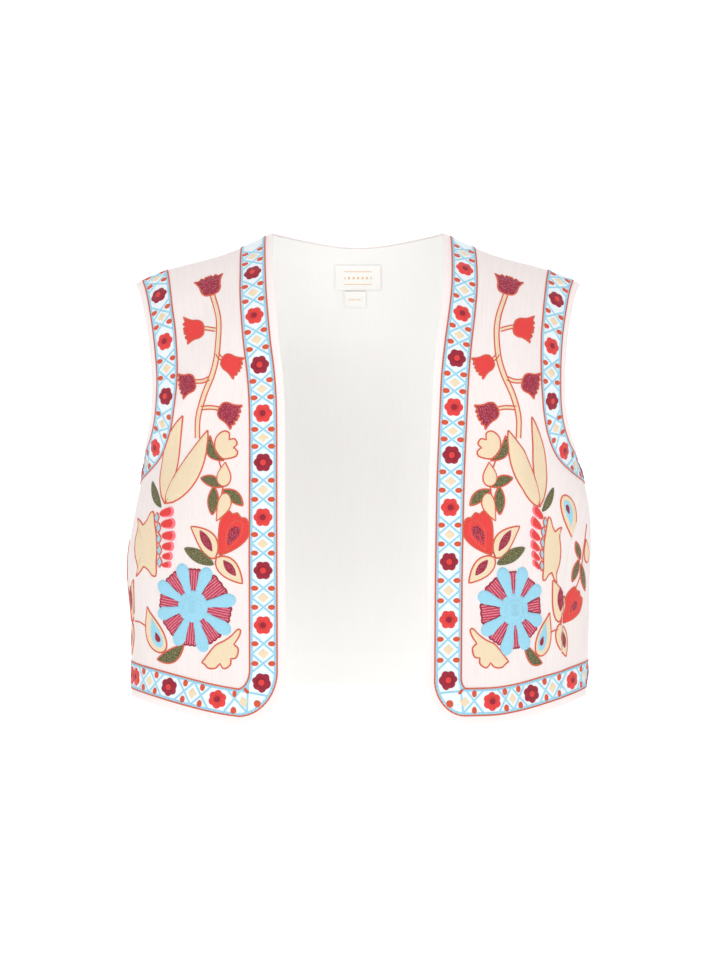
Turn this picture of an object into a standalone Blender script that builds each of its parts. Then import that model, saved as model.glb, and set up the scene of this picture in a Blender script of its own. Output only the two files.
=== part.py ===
"""Cropped, open-fronted waistcoat with embroidered borders, as worn: hollow, on no wearer.

Metres, +Z up, the fronts towards -Y. The origin lies midway between the shoulders, at the
height of the neck points, where the wearer's shoulders carry the garment.

The cloth follows one smooth figure, a stack of rounded horizontal sections that close over
the shoulders. A point on it is given by a side (-1 the wearer's right, +1 the left), an angle
from the centre front (0) round the side (90 degrees) to the centre back (180), and a height.
Each panel is a grid between four edges on that figure, given a wall towards the inside.
"""

import functools
import math
from collections import namedtuple

import bpy

# Cloth walls and the gaps that part them
WALL = 0.0015
LINING_WALL = 0.0010
LABEL_WALL = 0.0010
SEAM_GAP = 0.0003
LAYER_GAP = 0.0005

# Shoulder seam: a straight slope from the neck point down to the shoulder tip
NECK_HALF_WIDTH = 0.0808
SHOULDER_HALF_WIDTH = 0.2110
SHOULDER_DROP = 0.0485
SHOULDER_SAG = 0.0034
SHOULDER_CREST = 0.0019
SHOULDER_SAG_SHARE = 0.62

# How far below the shoulder seam the cloth reaches its full depth, and how roundly
FRONT_ROUNDING_DROP = 0.130
BACK_ROUNDING_DROP = 0.120
ROUNDING_POWER = 1.8
NECK_CROWN_POWER = 1.5

# Necklines, the front corners and the hem
BACK_NECK_DROP = 0.0080
BACK_NECK_POWER = 1.5
FRONT_HEM = -0.4570
BACK_HEM = -0.4370

# Embroidery that stands up from the cloth
BORDER_MARGIN = 0.0085
BORDER_WIDTH = 0.0250
BORDER_RAISE = 0.0005
WHEEL_RADIUS = 0.0400
WHEEL_RAISE = 0.0012
WHEEL_FROM_EDGE = 0.0850
WHEEL_HEIGHT = -0.3510
RAISE_SOFTNESS = 0.0040

# Label and size tab in the back of the neck
LABEL_WIDTH = 0.046
LABEL_TOP = -0.022
LABEL_BOTTOM = -0.045
TAB_WIDTH = 0.022
TAB_CENTRE = -0.003
TAB_TOP = -0.0465
TAB_BOTTOM = -0.062

# Grid steps: across the panels, down the armholes and down the side seams that they share
FRONT_ACROSS = 20
FRONT_ARMHOLE_DOWN = 24
BACK_NECK_ACROSS = 5
BACK_SHOULDER_ACROSS = 9
BACK_ARMHOLE_DOWN = 16
SEAM_DOWN = 18
LABEL_ACROSS = 6
LABEL_DOWN = 3
ROW_CROWDING = 1.35
UNDERARM_SHARE = 0.515
PATH_STEPS = 96

RIGHT = -1
LEFT = 1

# The lower corner of each front and the angles between which its hem rises to the back's
FrontCut = namedtuple("FrontCut", "corner_width corner_height rise_start rise_end")
FRONT_CUTS = {
    RIGHT: FrontCut(0.0440, 0.0500, 44.0, 78.0),
    LEFT: FrontCut(0.0360, 0.0420, 52.0, 88.0),
}

Section = namedtuple(
    "Section", "height right_width left_width front_depth back_depth right_square left_square"
)
SECTIONS = (
    Section(0.040, 0.2130, 0.2130, 0.100, 0.104, 2.60, 2.60),
    Section(-0.100, 0.2120, 0.2120, 0.106, 0.116, 2.60, 2.60),
    Section(-0.170, 0.2060, 0.2080, 0.111, 0.119, 2.60, 2.60),
    Section(-0.210, 0.2010, 0.2062, 0.113, 0.118, 2.65, 2.50),
    Section(-0.235, 0.2045, 0.2125, 0.113, 0.117, 2.75, 2.40),
    Section(-0.260, 0.2095, 0.2170, 0.113, 0.116, 2.85, 2.25),
    Section(-0.300, 0.2165, 0.2185, 0.112, 0.115, 3.00, 2.10),
    Section(-0.325, 0.2175, 0.2175, 0.111, 0.114, 3.00, 2.10),
    Section(-0.370, 0.2137, 0.2166, 0.110, 0.113, 3.00, 2.10),
    Section(-0.470, 0.2137, 0.2160, 0.109, 0.114, 3.00, 2.10),
)

FrontEdge = namedtuple("FrontEdge", "height right_gap left_gap")
FRONT_EDGE = (
    FrontEdge(0.000, 0.0808, 0.0808),
    FrontEdge(-0.030, 0.0790, 0.0803),
    FrontEdge(-0.060, 0.0769, 0.0787),
    FrontEdge(-0.106, 0.0724, 0.0722),
    FrontEdge(-0.137, 0.0684, 0.0687),
    FrontEdge(-0.170, 0.0664, 0.0670),
    FrontEdge(-0.250, 0.0660, 0.0640),
    FrontEdge(-0.480, 0.0655, 0.0620),
)

# Armhole, from the shoulder tip down the front to the underarm and up the back
ArmholePoint = namedtuple("ArmholePoint", "height front_angle back_angle")
ARMHOLE = (
    ArmholePoint(-0.0485, 83.3, 96.7),
    ArmholePoint(-0.0580, 79.3, 100.6),
    ArmholePoint(-0.0750, 76.5, 103.8),
    ArmholePoint(-0.1050, 73.9, 106.3),
    ArmholePoint(-0.1450, 72.9, 106.6),
    ArmholePoint(-0.1750, 74.2, 104.8),
    ArmholePoint(-0.1940, 78.2, 100.8),
    ArmholePoint(-0.2045, 84.0, 95.4),
    ArmholePoint(-0.2080, 90.0, 90.0),
)
UNDERARM = ARMHOLE[-1].height

SideSeam = namedtuple("SideSeam", "height right_angle left_angle")
SIDE_SEAM = (
    SideSeam(-0.208, 90.0, 90.0),
    SideSeam(-0.240, 84.0, 82.0),
    SideSeam(-0.285, 79.5, 76.0),
    SideSeam(-0.340, 77.4, 73.6),
    SideSeam(-0.470, 77.0, 73.2),
)

# Soft folds: a ridge (raised, positive) or a trough (negative) between two places
Fold = namedtuple("Fold", "side start_angle start_height end_angle end_height width depth")
FOLDS = (
    Fold(RIGHT, 58, -0.070, 66, -0.150, 0.016, -0.0022),
    Fold(RIGHT, 47, -0.055, 55, -0.150, 0.015, 0.0020),
    Fold(RIGHT, 66, -0.190, 72, -0.330, 0.016, -0.0024),
    Fold(RIGHT, 38, -0.280, 44, -0.430, 0.022, 0.0016),
    Fold(RIGHT, 112, -0.200, 104, -0.400, 0.020, -0.0030),
    Fold(RIGHT, 130, -0.120, 124, -0.410, 0.026, 0.0026),
    Fold(RIGHT, 152, -0.090, 158, -0.400, 0.024, -0.0020),
    Fold(LEFT, 56, -0.075, 62, -0.170, 0.014, 0.0022),
    Fold(LEFT, 48, -0.060, 50, -0.130, 0.014, -0.0018),
    Fold(LEFT, 70, -0.200, 66, -0.300, 0.018, -0.0026),
    Fold(LEFT, 84, -0.240, 86, -0.410, 0.018, 0.0028),
    Fold(LEFT, 40, -0.300, 46, -0.430, 0.020, -0.0014),
    Fold(LEFT, 110, -0.220, 114, -0.420, 0.022, 0.0030),
    Fold(LEFT, 126, -0.130, 134, -0.400, 0.020, -0.0026),
    Fold(LEFT, 160, -0.110, 152, -0.420, 0.026, 0.0022),
    Fold(LEFT, 174, -0.140, 176, -0.350, 0.022, -0.0016),
)
FOLD_RADIUS = 0.125
FOLD_FADE = 0.045
FOLD_END = 0.25

# How the seams part, how places are matched to them, and the steps that find a direction
ARMHOLE_RADIUS = 0.190
SEAM_FADE = 0.004
TURN_STEP = 0.4
HEIGHT_STEP = 0.0008
CORNER_SHARE = 0.22
SAME_ANGLE = 0.01
SAME_HEIGHT = 0.00001

CLOTH_COLOUR = (0.890, 0.806, 0.783)
LINING_COLOUR = (0.905, 0.870, 0.855)
LABEL_COLOUR = (0.870, 0.800, 0.700)
CLOTH_ROUGHNESS = 0.88
LINING_ROUGHNESS = 0.80


def smooth_at(rows, column, height):
    """Read a column of a table at a height, on a smooth curve through its rows."""
    heights = [row.height for row in rows]
    values = [getattr(row, column) for row in rows]
    last = len(rows) - 1
    height = min(max(height, heights[last]), heights[0])
    index = 0
    while index < last - 1 and height < heights[index + 1]:
        index += 1

    def slope(place):
        before = max(place - 1, 0)
        after = min(place + 1, last)
        return (values[after] - values[before]) / (heights[after] - heights[before])

    span = heights[index + 1] - heights[index]
    part = (height - heights[index]) / span
    start_pull = (2 * part**3 - 3 * part**2 + 1) * values[index]
    end_pull = (3 * part**2 - 2 * part**3) * values[index + 1]
    start_turn = (part**3 - 2 * part**2 + part) * span * slope(index)
    end_turn = (part**3 - part**2) * span * slope(index + 1)
    return start_pull + end_pull + start_turn + end_turn


def soft_step(value):
    """Ease from 0 to 1 as a value goes from 0 to 1."""
    value = min(max(value, 0.0), 1.0)
    return value * value * (3 - 2 * value)


def sided(side, rows, quantity, height):
    """Read the wearer's right or left column of a table at a height."""
    name = "right_" if side == RIGHT else "left_"
    return smooth_at(rows, name + quantity, height)


@functools.lru_cache(maxsize=None)
def section_at(side, height, front):
    """Half width, depth and squareness of the figure at a height."""
    width = sided(side, SECTIONS, "width", height)
    depth = smooth_at(SECTIONS, "front_depth" if front else "back_depth", height)
    square = sided(side, SECTIONS, "square", height)
    return width, depth, square


def ridge_height(across):
    """Height of the shoulder line at a distance from the centre, carried on over the neck."""
    slope = SHOULDER_DROP / (SHOULDER_HALF_WIDTH - NECK_HALF_WIDTH)
    if across >= NECK_HALF_WIDTH:
        share = (across - NECK_HALF_WIDTH) / (SHOULDER_HALF_WIDTH - NECK_HALF_WIDTH)
        if share < SHOULDER_SAG_SHARE:
            wave = -SHOULDER_SAG * math.sin(math.pi * share / SHOULDER_SAG_SHARE)
        else:
            past = (min(share, 1.0) - SHOULDER_SAG_SHARE) / (1 - SHOULDER_SAG_SHARE)
            wave = SHOULDER_CREST * math.sin(math.pi * past)
        return (NECK_HALF_WIDTH - across) * slope + wave
    crown = NECK_HALF_WIDTH * slope / NECK_CROWN_POWER
    return crown * (1 - (across / NECK_HALF_WIDTH) ** NECK_CROWN_POWER)


def rounding(drop, front):
    """Share of the full depth that the cloth has reached this far below the shoulder line."""
    full = FRONT_ROUNDING_DROP if front else BACK_ROUNDING_DROP
    left = 1 - min(max(drop / full, 0.0), 1.0)
    return (1 - left**ROUNDING_POWER) ** (1 / ROUNDING_POWER)


def angle_at(side, across, height, front=True):
    """Angle of the point of the section that lies this far from the centre."""
    width, depth, square = section_at(side, height, front)
    reach = depth * (1 - (across / width) ** square) ** (1 / square)
    angle = math.degrees(math.atan2(across, reach))
    return angle if front else 180 - angle


def bare_point(side, angle, height):
    """A point of the figure without its folds."""
    front = angle <= 90
    width, depth, square = section_at(side, height, front)
    turn = math.radians(angle)
    sine = math.sin(turn)
    cosine = abs(math.cos(turn))
    radius = ((abs(sine) / width) ** square + (cosine / depth) ** square) ** (-1 / square)
    across = radius * sine
    drop = ridge_height(abs(across)) - height
    reach = radius * cosine * rounding(drop, front)
    return (side * across, -reach if front else reach, height)


def crossed(first, second):
    """Cross product of two directions."""
    return (
        first[1] * second[2] - first[2] * second[1],
        first[2] * second[0] - first[0] * second[2],
        first[0] * second[1] - first[1] * second[0],
    )


def unit(vector):
    """A direction at length 1."""
    length = math.sqrt(sum(part * part for part in vector))
    return tuple(part / length for part in vector)


def outward(side, angle, height):
    """Direction straight out of the cloth. On the shoulder seam it lies in the seam's plane."""
    across = abs(bare_point(side, angle, height)[0])
    drop = ridge_height(across) - height
    level = min(height, ridge_height(across) - 3 * HEIGHT_STEP)
    ahead = bare_point(side, angle + TURN_STEP, level)
    behind = bare_point(side, angle - TURN_STEP, level)
    above = bare_point(side, angle, level + HEIGHT_STEP)
    below = bare_point(side, angle, level - HEIGHT_STEP)
    along = tuple(a - b for a, b in zip(ahead, behind))
    up = tuple(a - b for a, b in zip(above, below))
    normal = unit(crossed(along, up))
    if side == RIGHT:
        normal = tuple(-part for part in normal)
    if drop < HEIGHT_STEP:
        normal = unit((normal[0], 0.0, normal[2]))
    return normal


def fold_at(side, angle, height, drop):
    """How far the soft folds push the cloth out at a place."""
    push = 0.0
    for fold in FOLDS:
        if fold.side != side:
            continue
        start = (math.radians(fold.start_angle) * FOLD_RADIUS, fold.start_height)
        end = (math.radians(fold.end_angle) * FOLD_RADIUS, fold.end_height)
        here = (math.radians(angle) * FOLD_RADIUS, height)
        run = (end[0] - start[0], end[1] - start[1])
        length = math.hypot(*run)
        off = (here[0] - start[0], here[1] - start[1])
        along = (off[0] * run[0] + off[1] * run[1]) / length**2
        aside = (off[0] * run[1] - off[1] * run[0]) / length
        start_ease = soft_step((along + FOLD_END) / (2 * FOLD_END))
        end_ease = soft_step((1 + FOLD_END - along) / (2 * FOLD_END))
        push += fold.depth * start_ease * end_ease * math.exp(-((aside / fold.width) ** 2))
    return push * soft_step(drop / FOLD_FADE)


def place(side, angle, height, out=0.0):
    """A point of the folded cloth, moved straight out by a distance."""
    bare = bare_point(side, angle, height)
    drop = ridge_height(abs(bare[0])) - height
    reach = fold_at(side, angle, height, drop) + out
    normal = outward(side, angle, height)
    return tuple(part + reach * way for part, way in zip(bare, normal))


def hem_height(side, angle):
    """Height of the hem: level round the back, dipping towards the fronts."""
    cut = FRONT_CUTS[side]
    part = (angle - cut.rise_start) / (cut.rise_end - cut.rise_start)
    return FRONT_HEM + (BACK_HEM - FRONT_HEM) * soft_step(part)


def corner_point(side, turn):
    """Distance from the centre and height round the front corner, 0 at the edge to 1 at the hem."""
    cut = FRONT_CUTS[side]
    quarter = turn * math.pi / 2
    edge = sided(side, FRONT_EDGE, "gap", FRONT_HEM)
    across = edge + cut.corner_width * (1 - math.cos(quarter))
    height = FRONT_HEM + cut.corner_height * (1 - math.sin(quarter))
    return across, height


def front_edge(side, down):
    """Front edge of a front, from the neck point to the middle of the rounded corner."""
    height = corner_point(side, 0.5)[1] * down
    rise = (height - FRONT_HEM) / FRONT_CUTS[side].corner_height
    if rise >= 1:
        across = sided(side, FRONT_EDGE, "gap", height)
    else:
        across = corner_point(side, 2 * math.asin(1 - rise) / math.pi)[0]
    return angle_at(side, across, height), height


def front_hem(side, part):
    """Hem of a front, from the middle of the rounded corner to the side seam."""
    if part < CORNER_SHARE:
        across, height = corner_point(side, 0.5 + 0.5 * part / CORNER_SHARE)
        return angle_at(side, across, height), height
    start = angle_at(side, corner_point(side, 1.0)[0], FRONT_HEM)
    end = sided(side, SIDE_SEAM, "angle", BACK_HEM)
    along = (part - CORNER_SHARE) / (1 - CORNER_SHARE)
    angle = start + (end - start) * along
    return angle, hem_height(side, angle)


def shoulder_seam(side, part, front):
    """Shoulder seam, from the neck point to the shoulder tip."""
    across = NECK_HALF_WIDTH + (SHOULDER_HALF_WIDTH - NECK_HALF_WIDTH) * part
    height = ridge_height(across)
    return angle_at(side, across, height, front), height


@functools.lru_cache(maxsize=None)
def armhole_path(front):
    """Places down the armhole edge, each with its distance along the edge."""
    column = "front_angle" if front else "back_angle"
    last = len(ARMHOLE) - 1
    places = []
    travelled = 0.0
    for step in range(PATH_STEPS + 1):
        reach = step / PATH_STEPS * last
        index = min(int(reach), last - 1)
        part = reach - index
        row = ARMHOLE[index]
        after = ARMHOLE[index + 1]
        height = row.height + (after.height - row.height) * part
        angle = smooth_at(ARMHOLE, column, height)
        if places:
            turn = math.radians(angle - places[-1][1]) * ARMHOLE_RADIUS
            travelled += math.hypot(turn, height - places[-1][2])
        places.append((travelled, angle, height))
    return places


def armhole_edge(part, front):
    """Armhole edge, from the shoulder tip to the underarm."""
    places = armhole_path(front)
    wanted = part * places[-1][0]
    index = 0
    while index < PATH_STEPS - 1 and places[index + 1][0] < wanted:
        index += 1
    start = places[index]
    end = places[index + 1]
    share = (wanted - start[0]) / (end[0] - start[0])
    return start[1] + (end[1] - start[1]) * share, start[2] + (end[2] - start[2]) * share


def side_edge(side, row, armhole_rows, front):
    """Armhole edge down to the underarm, then the side seam down to the hem, by grid row."""
    if row < armhole_rows:
        return armhole_edge(row / armhole_rows, front)
    bottom = hem_height(side, sided(side, SIDE_SEAM, "angle", BACK_HEM))
    height = UNDERARM + (bottom - UNDERARM) * (row - armhole_rows) / SEAM_DOWN
    return sided(side, SIDE_SEAM, "angle", height), height


def back_neckline(side, part):
    """Back neckline, from the centre back to the neck point."""
    across = NECK_HALF_WIDTH * part
    height = -BACK_NECK_DROP * math.cos(math.pi / 2 * part) ** BACK_NECK_POWER
    return angle_at(side, across, height, front=False), height


def patch_point(top, bottom, inner, outer, across, down, corners):
    """A point between four edges, given as pairs of angle and height."""
    blended = []
    for axis in range(2):
        between_ends = (1 - down) * top[axis] + down * bottom[axis]
        between_sides = (1 - across) * inner[axis] + across * outer[axis]
        flat_top = (1 - across) * corners[0][axis] + across * corners[1][axis]
        flat_bottom = (1 - across) * corners[2][axis] + across * corners[3][axis]
        flat = (1 - down) * flat_top + down * flat_bottom
        blended.append(between_ends + between_sides - flat)
    return tuple(blended)


def row_share(row, armhole_rows):
    """Share of the way down for a row: close together near the shoulder, even from the underarm."""
    if row < armhole_rows:
        return UNDERARM_SHARE * (row / armhole_rows) ** ROW_CROWDING
    return UNDERARM_SHARE + (1 - UNDERARM_SHARE) * (row - armhole_rows) / SEAM_DOWN


def patch(top, bottom, inner, outer, across_steps, armhole_rows):
    """Rows of places between four edges, two of them across and two down."""
    corners = (top(0.0), top(1.0), bottom(0.0), bottom(1.0))
    rows = []
    for row in range(armhole_rows + SEAM_DOWN + 1):
        down = row_share(row, armhole_rows)
        inner_place = inner(down)
        outer_place = outer(row)
        cells = []
        for column in range(across_steps + 1):
            across = column / across_steps
            ends = (top(across), bottom(across))
            cells.append(patch_point(*ends, inner_place, outer_place, across, down, corners))
        rows.append(cells)
    return rows


def front_chart(side):
    """Rows of places (angle, height) that cover one front."""
    return patch(
        lambda part: shoulder_seam(side, part, True),
        lambda part: front_hem(side, part),
        lambda part: front_edge(side, part),
        lambda row: side_edge(side, row, FRONT_ARMHOLE_DOWN, True),
        FRONT_ACROSS,
        FRONT_ARMHOLE_DOWN,
    )


def half_back_chart(side):
    """Rows of places that cover the back from its centre to one side."""
    across_steps = BACK_NECK_ACROSS + BACK_SHOULDER_ACROSS
    neck_share = BACK_NECK_ACROSS / across_steps
    centre_top = back_neckline(side, 0.0)[1]
    seam_angle = sided(side, SIDE_SEAM, "angle", BACK_HEM)

    def top(part):
        if part <= neck_share:
            return back_neckline(side, part / neck_share)
        return shoulder_seam(side, (part - neck_share) / (1 - neck_share), False)

    def hem(part):
        angle = 180 + (seam_angle - 180) * part
        return angle, hem_height(side, angle)

    def centre(part):
        return 180.0, centre_top + (BACK_HEM - centre_top) * part

    def edge(row):
        return side_edge(side, row, BACK_ARMHOLE_DOWN, False)

    return patch(top, hem, centre, edge, across_steps, BACK_ARMHOLE_DOWN)


def seam_shift(side, angle, height, point, front):
    """Draw a point back from the shoulder and side seams, by half of the seam gap."""
    away = -SEAM_GAP / 2 if front else SEAM_GAP / 2
    x, y, z = point
    drop = ridge_height(abs(x)) - height
    y += away * max(0.0, 1 - max(drop, 0.0) / SEAM_FADE)
    seam = sided(side, SIDE_SEAM, "angle", height)
    if height < UNDERARM + SAME_HEIGHT and abs(angle - seam) < SAME_ANGLE:
        y += away
    return (x, y, z)


def border_distance(side, angle, height):
    """Distance from the nearest finished edge of the cloth, near enough for the raised border."""
    across = abs(bare_point(side, angle, height)[0])
    front = angle <= 90
    nearest = abs(height - hem_height(side, angle))
    if front:
        nearest = min(nearest, across - sided(side, FRONT_EDGE, "gap", height))
    elif across < NECK_HALF_WIDTH:
        share = across / NECK_HALF_WIDTH
        neckline = -BACK_NECK_DROP * math.cos(math.pi / 2 * share) ** BACK_NECK_POWER
        nearest = min(nearest, neckline - height)
    for _, edge, level in armhole_path(front)[::4]:
        turn = math.radians(angle - edge) * ARMHOLE_RADIUS
        nearest = min(nearest, math.hypot(turn, height - level))
    return nearest


def raised(side, angle, height):
    """How far the thick embroidery stands up at a place."""
    edge = border_distance(side, angle, height)
    from_middle = abs(edge - BORDER_MARGIN - BORDER_WIDTH / 2)
    border = soft_step((BORDER_WIDTH / 2 + RAISE_SOFTNESS - from_middle) / (2 * RAISE_SOFTNESS))
    if angle > 90:
        return BORDER_RAISE * border
    across = abs(bare_point(side, angle, height)[0])
    centre = sided(side, FRONT_EDGE, "gap", WHEEL_HEIGHT) + WHEEL_FROM_EDGE
    off = math.hypot(across - centre, height - WHEEL_HEIGHT)
    wheel = soft_step((WHEEL_RADIUS + RAISE_SOFTNESS - off) / (2 * RAISE_SOFTNESS))
    return max(BORDER_RAISE * border, WHEEL_RAISE * wheel)


def cloth_grid(side, chart, out, front, relief=False):
    """World points of a chart, moved out by a distance and by the raised embroidery."""
    grid = []
    for cells in chart:
        points = []
        for angle, height in cells:
            lift = raised(side, angle, height) if relief else 0.0
            point = place(side, angle, height, out + lift)
            points.append(seam_shift(side, angle, height, point, front))
        grid.append(points)
    return grid


def joined_halves(right_grid, left_grid):
    """One grid for the whole back, from the wearer's right side to the left."""
    rows = []
    for right_row, left_row in zip(right_grid, left_grid):
        middle = (0.0, (right_row[0][1] + left_row[0][1]) / 2, (right_row[0][2] + left_row[0][2]) / 2)
        rows.append(right_row[:0:-1] + [middle] + left_row[1:])
    return rows


def material(name, colour, roughness):
    """Cloth-like material of one colour."""
    made = bpy.data.materials.new(name)
    made.use_nodes = True
    shader = made.node_tree.nodes["Principled BSDF"]
    shader.inputs["Base Color"].default_value = (*colour, 1.0)
    shader.inputs["Roughness"].default_value = roughness
    shader.inputs["Metallic"].default_value = 0.0
    return made


def wall_object(name, outer, inner, finish, collection, parent):
    """Closed wall between an outer and an inner grid, split on the same diagonals."""
    rows = len(outer)
    columns = len(outer[0])
    points = [point for row in outer for point in row]
    points += [point for row in inner for point in row]
    layer = rows * columns
    faces = []
    for row in range(rows - 1):
        for column in range(columns - 1):
            first = row * columns + column
            corners = (first, first + columns, first + columns + 1, first + 1)
            for half in (corners[:3], (corners[0], *corners[2:])):
                faces.append(half)
                faces.append(tuple(layer + corner for corner in reversed(half)))
    rim = list(range(columns))
    rim += [row * columns + columns - 1 for row in range(1, rows)]
    rim += [(rows - 1) * columns + column for column in range(columns - 2, -1, -1)]
    rim += [row * columns for row in range(rows - 2, 0, -1)]
    for here, after in zip(rim, rim[1:] + rim[:1]):
        faces.append((here, after, layer + after, layer + here))
    mesh = bpy.data.meshes.new(name)
    mesh.from_pydata(points, [], faces)
    mesh.validate()
    mesh.update()
    mesh.shade_smooth()
    mesh.materials.append(finish)
    made = bpy.data.objects.new(name, mesh)
    made.parent = parent
    collection.objects.link(made)
    return made


def turned(grid):
    """The same grid with its columns in the other order, so that its faces look outwards."""
    return [row[::-1] for row in grid]


def build_front(name, side, finish, collection, parent):
    """One front, from the shoulder seam to the hem."""
    chart = front_chart(side)
    outer = cloth_grid(side, chart, 0.0, True, relief=True)
    inner = cloth_grid(side, chart, -WALL, True)
    if side == RIGHT:
        outer = turned(outer)
        inner = turned(inner)
    return wall_object(name, outer, inner, finish, collection, parent)


def build_back(name, start, depth, relief, finish, collection, parent):
    """A whole back layer whose outer face lies this far inside the figure."""
    grids = {}
    for side in (RIGHT, LEFT):
        chart = half_back_chart(side)
        outer = cloth_grid(side, chart, -start, False, relief)
        inner = cloth_grid(side, chart, -start - depth, False)
        grids[side] = (outer, inner)
    outer = joined_halves(grids[RIGHT][0], grids[LEFT][0])
    inner = joined_halves(grids[RIGHT][1], grids[LEFT][1])
    return wall_object(name, turned(outer), turned(inner), finish, collection, parent)


def build_label(name, centre, width, top, bottom, finish, collection, parent):
    """A small woven label that lies on the lining of the back neck."""
    start = WALL + LINING_WALL + 2 * LAYER_GAP
    outer = []
    inner = []
    for row in range(LABEL_DOWN + 1):
        height = top + (bottom - top) * row / LABEL_DOWN
        outer_row = []
        inner_row = []
        for column in range(LABEL_ACROSS + 1):
            across = centre + width * (column / LABEL_ACROSS - 0.5)
            side = LEFT if across >= 0 else RIGHT
            angle = angle_at(side, abs(across), height, front=False)
            outer_row.append(place(side, angle, height, -start))
            inner_row.append(place(side, angle, height, -start - LABEL_WALL))
        outer.append(outer_row)
        inner.append(inner_row)
    return wall_object(name, turned(outer), turned(inner), finish, collection, parent)


def main():
    """Clear the scene and build the waistcoat's pieces."""
    for leftover in list(bpy.data.objects):
        bpy.data.objects.remove(leftover, do_unlink=True)
    collection = bpy.data.collections.new("waistcoat")
    bpy.context.scene.collection.children.link(collection)
    parent = bpy.data.objects.new("waistcoat", None)
    collection.objects.link(parent)

    cloth = material("embroidered_cloth", CLOTH_COLOUR, CLOTH_ROUGHNESS)
    back_cloth = material("back_cloth", CLOTH_COLOUR, CLOTH_ROUGHNESS)
    lining = material("lining_cloth", LINING_COLOUR, LINING_ROUGHNESS)
    label = material("woven_label", LABEL_COLOUR, LINING_ROUGHNESS)

    build_front("front_right", RIGHT, cloth, collection, parent)
    build_front("front_left", LEFT, cloth, collection, parent)
    build_back("back", 0.0, WALL, True, back_cloth, collection, parent)
    build_back("back_lining", WALL + LAYER_GAP, LINING_WALL, False, lining, collection, parent)
    build_label("neck_label", 0.0, LABEL_WIDTH, LABEL_TOP, LABEL_BOTTOM, label, collection, parent)
    build_label("size_tab", TAB_CENTRE, TAB_WIDTH, TAB_TOP, TAB_BOTTOM, label, collection, parent)


main()
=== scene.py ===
"""Looks of the embroidered waistcoat: cloth, thick thread embroidery, label, light and camera.

Metres, +Z up, the fronts towards -Y. The cloth lies on the same smooth figure as the solids: a
place on it is a side (-1 the wearer's right, +1 the left), an angle from the centre front (0)
round the side (90 degrees) to the centre back (180), and a height. The embroidery is drawn flat,
in millimetres, on charts of that cloth, and is then laid on it.
"""

import logging
import math
from collections.abc import Callable, Sequence
from dataclasses import dataclass, field
from enum import Enum
from functools import cache
from typing import NamedTuple

import bpy
import numpy as np
from mathutils.kdtree import KDTree
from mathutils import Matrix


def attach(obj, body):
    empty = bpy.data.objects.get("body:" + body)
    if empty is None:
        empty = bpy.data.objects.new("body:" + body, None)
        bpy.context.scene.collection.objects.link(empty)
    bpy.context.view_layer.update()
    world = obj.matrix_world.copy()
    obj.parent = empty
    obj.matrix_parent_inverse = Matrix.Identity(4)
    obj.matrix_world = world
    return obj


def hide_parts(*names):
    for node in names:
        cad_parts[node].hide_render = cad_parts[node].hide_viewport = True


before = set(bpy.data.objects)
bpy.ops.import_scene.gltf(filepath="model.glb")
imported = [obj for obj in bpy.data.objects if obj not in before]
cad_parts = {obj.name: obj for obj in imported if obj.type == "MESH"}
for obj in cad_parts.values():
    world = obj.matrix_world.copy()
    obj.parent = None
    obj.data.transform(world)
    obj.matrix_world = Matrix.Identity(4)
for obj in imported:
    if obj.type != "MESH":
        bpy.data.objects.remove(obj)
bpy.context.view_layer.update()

LOG = logging.getLogger("waistcoat")
MM = 0.001
RIGHT = -1
LEFT = 1
Array = np.ndarray
Petals = tuple[tuple[int, int], ...]
Mapper = Callable[[Array, Array], tuple[Array, Array, Array]]


class Section(NamedTuple):
    """One horizontal section of the figure."""

    height: float
    right_width: float
    left_width: float
    front_depth: float
    back_depth: float
    right_square: float
    left_square: float


class FrontEdge(NamedTuple):
    """Distance of each front's edge from the centre at a height."""

    height: float
    right_gap: float
    left_gap: float


class ArmholePoint(NamedTuple):
    """Angles of the armhole's front and back edge at a height."""

    height: float
    front_angle: float
    back_angle: float


class SideSeam(NamedTuple):
    """Angle of each side seam at a height."""

    height: float
    right_angle: float
    left_angle: float


class FrontCut(NamedTuple):
    """Rounded lower corner of a front, and the angles between which its hem rises."""

    corner_width: float
    corner_height: float
    rise_start: float
    rise_end: float


class Fold(NamedTuple):
    """A soft ridge (positive) or trough (negative) between two places."""

    side: int
    start_angle: float
    start_height: float
    end_angle: float
    end_height: float
    width: float
    depth: float


SECTIONS = (
    Section(0.040, 0.2130, 0.2130, 0.100, 0.104, 2.60, 2.60),
    Section(-0.100, 0.2120, 0.2120, 0.106, 0.116, 2.60, 2.60),
    Section(-0.170, 0.2060, 0.2080, 0.111, 0.119, 2.60, 2.60),
    Section(-0.210, 0.2010, 0.2062, 0.113, 0.118, 2.65, 2.50),
    Section(-0.235, 0.2045, 0.2125, 0.113, 0.117, 2.75, 2.40),
    Section(-0.260, 0.2095, 0.2170, 0.113, 0.116, 2.85, 2.25),
    Section(-0.300, 0.2165, 0.2185, 0.112, 0.115, 3.00, 2.10),
    Section(-0.325, 0.2175, 0.2175, 0.111, 0.114, 3.00, 2.10),
    Section(-0.370, 0.2137, 0.2166, 0.110, 0.113, 3.00, 2.10),
    Section(-0.470, 0.2137, 0.2160, 0.109, 0.114, 3.00, 2.10),
)
FRONT_EDGE = (
    FrontEdge(0.000, 0.0808, 0.0808),
    FrontEdge(-0.030, 0.0790, 0.0803),
    FrontEdge(-0.060, 0.0769, 0.0787),
    FrontEdge(-0.106, 0.0724, 0.0722),
    FrontEdge(-0.137, 0.0684, 0.0687),
    FrontEdge(-0.170, 0.0664, 0.0670),
    FrontEdge(-0.250, 0.0660, 0.0640),
    FrontEdge(-0.480, 0.0655, 0.0620),
)
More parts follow.
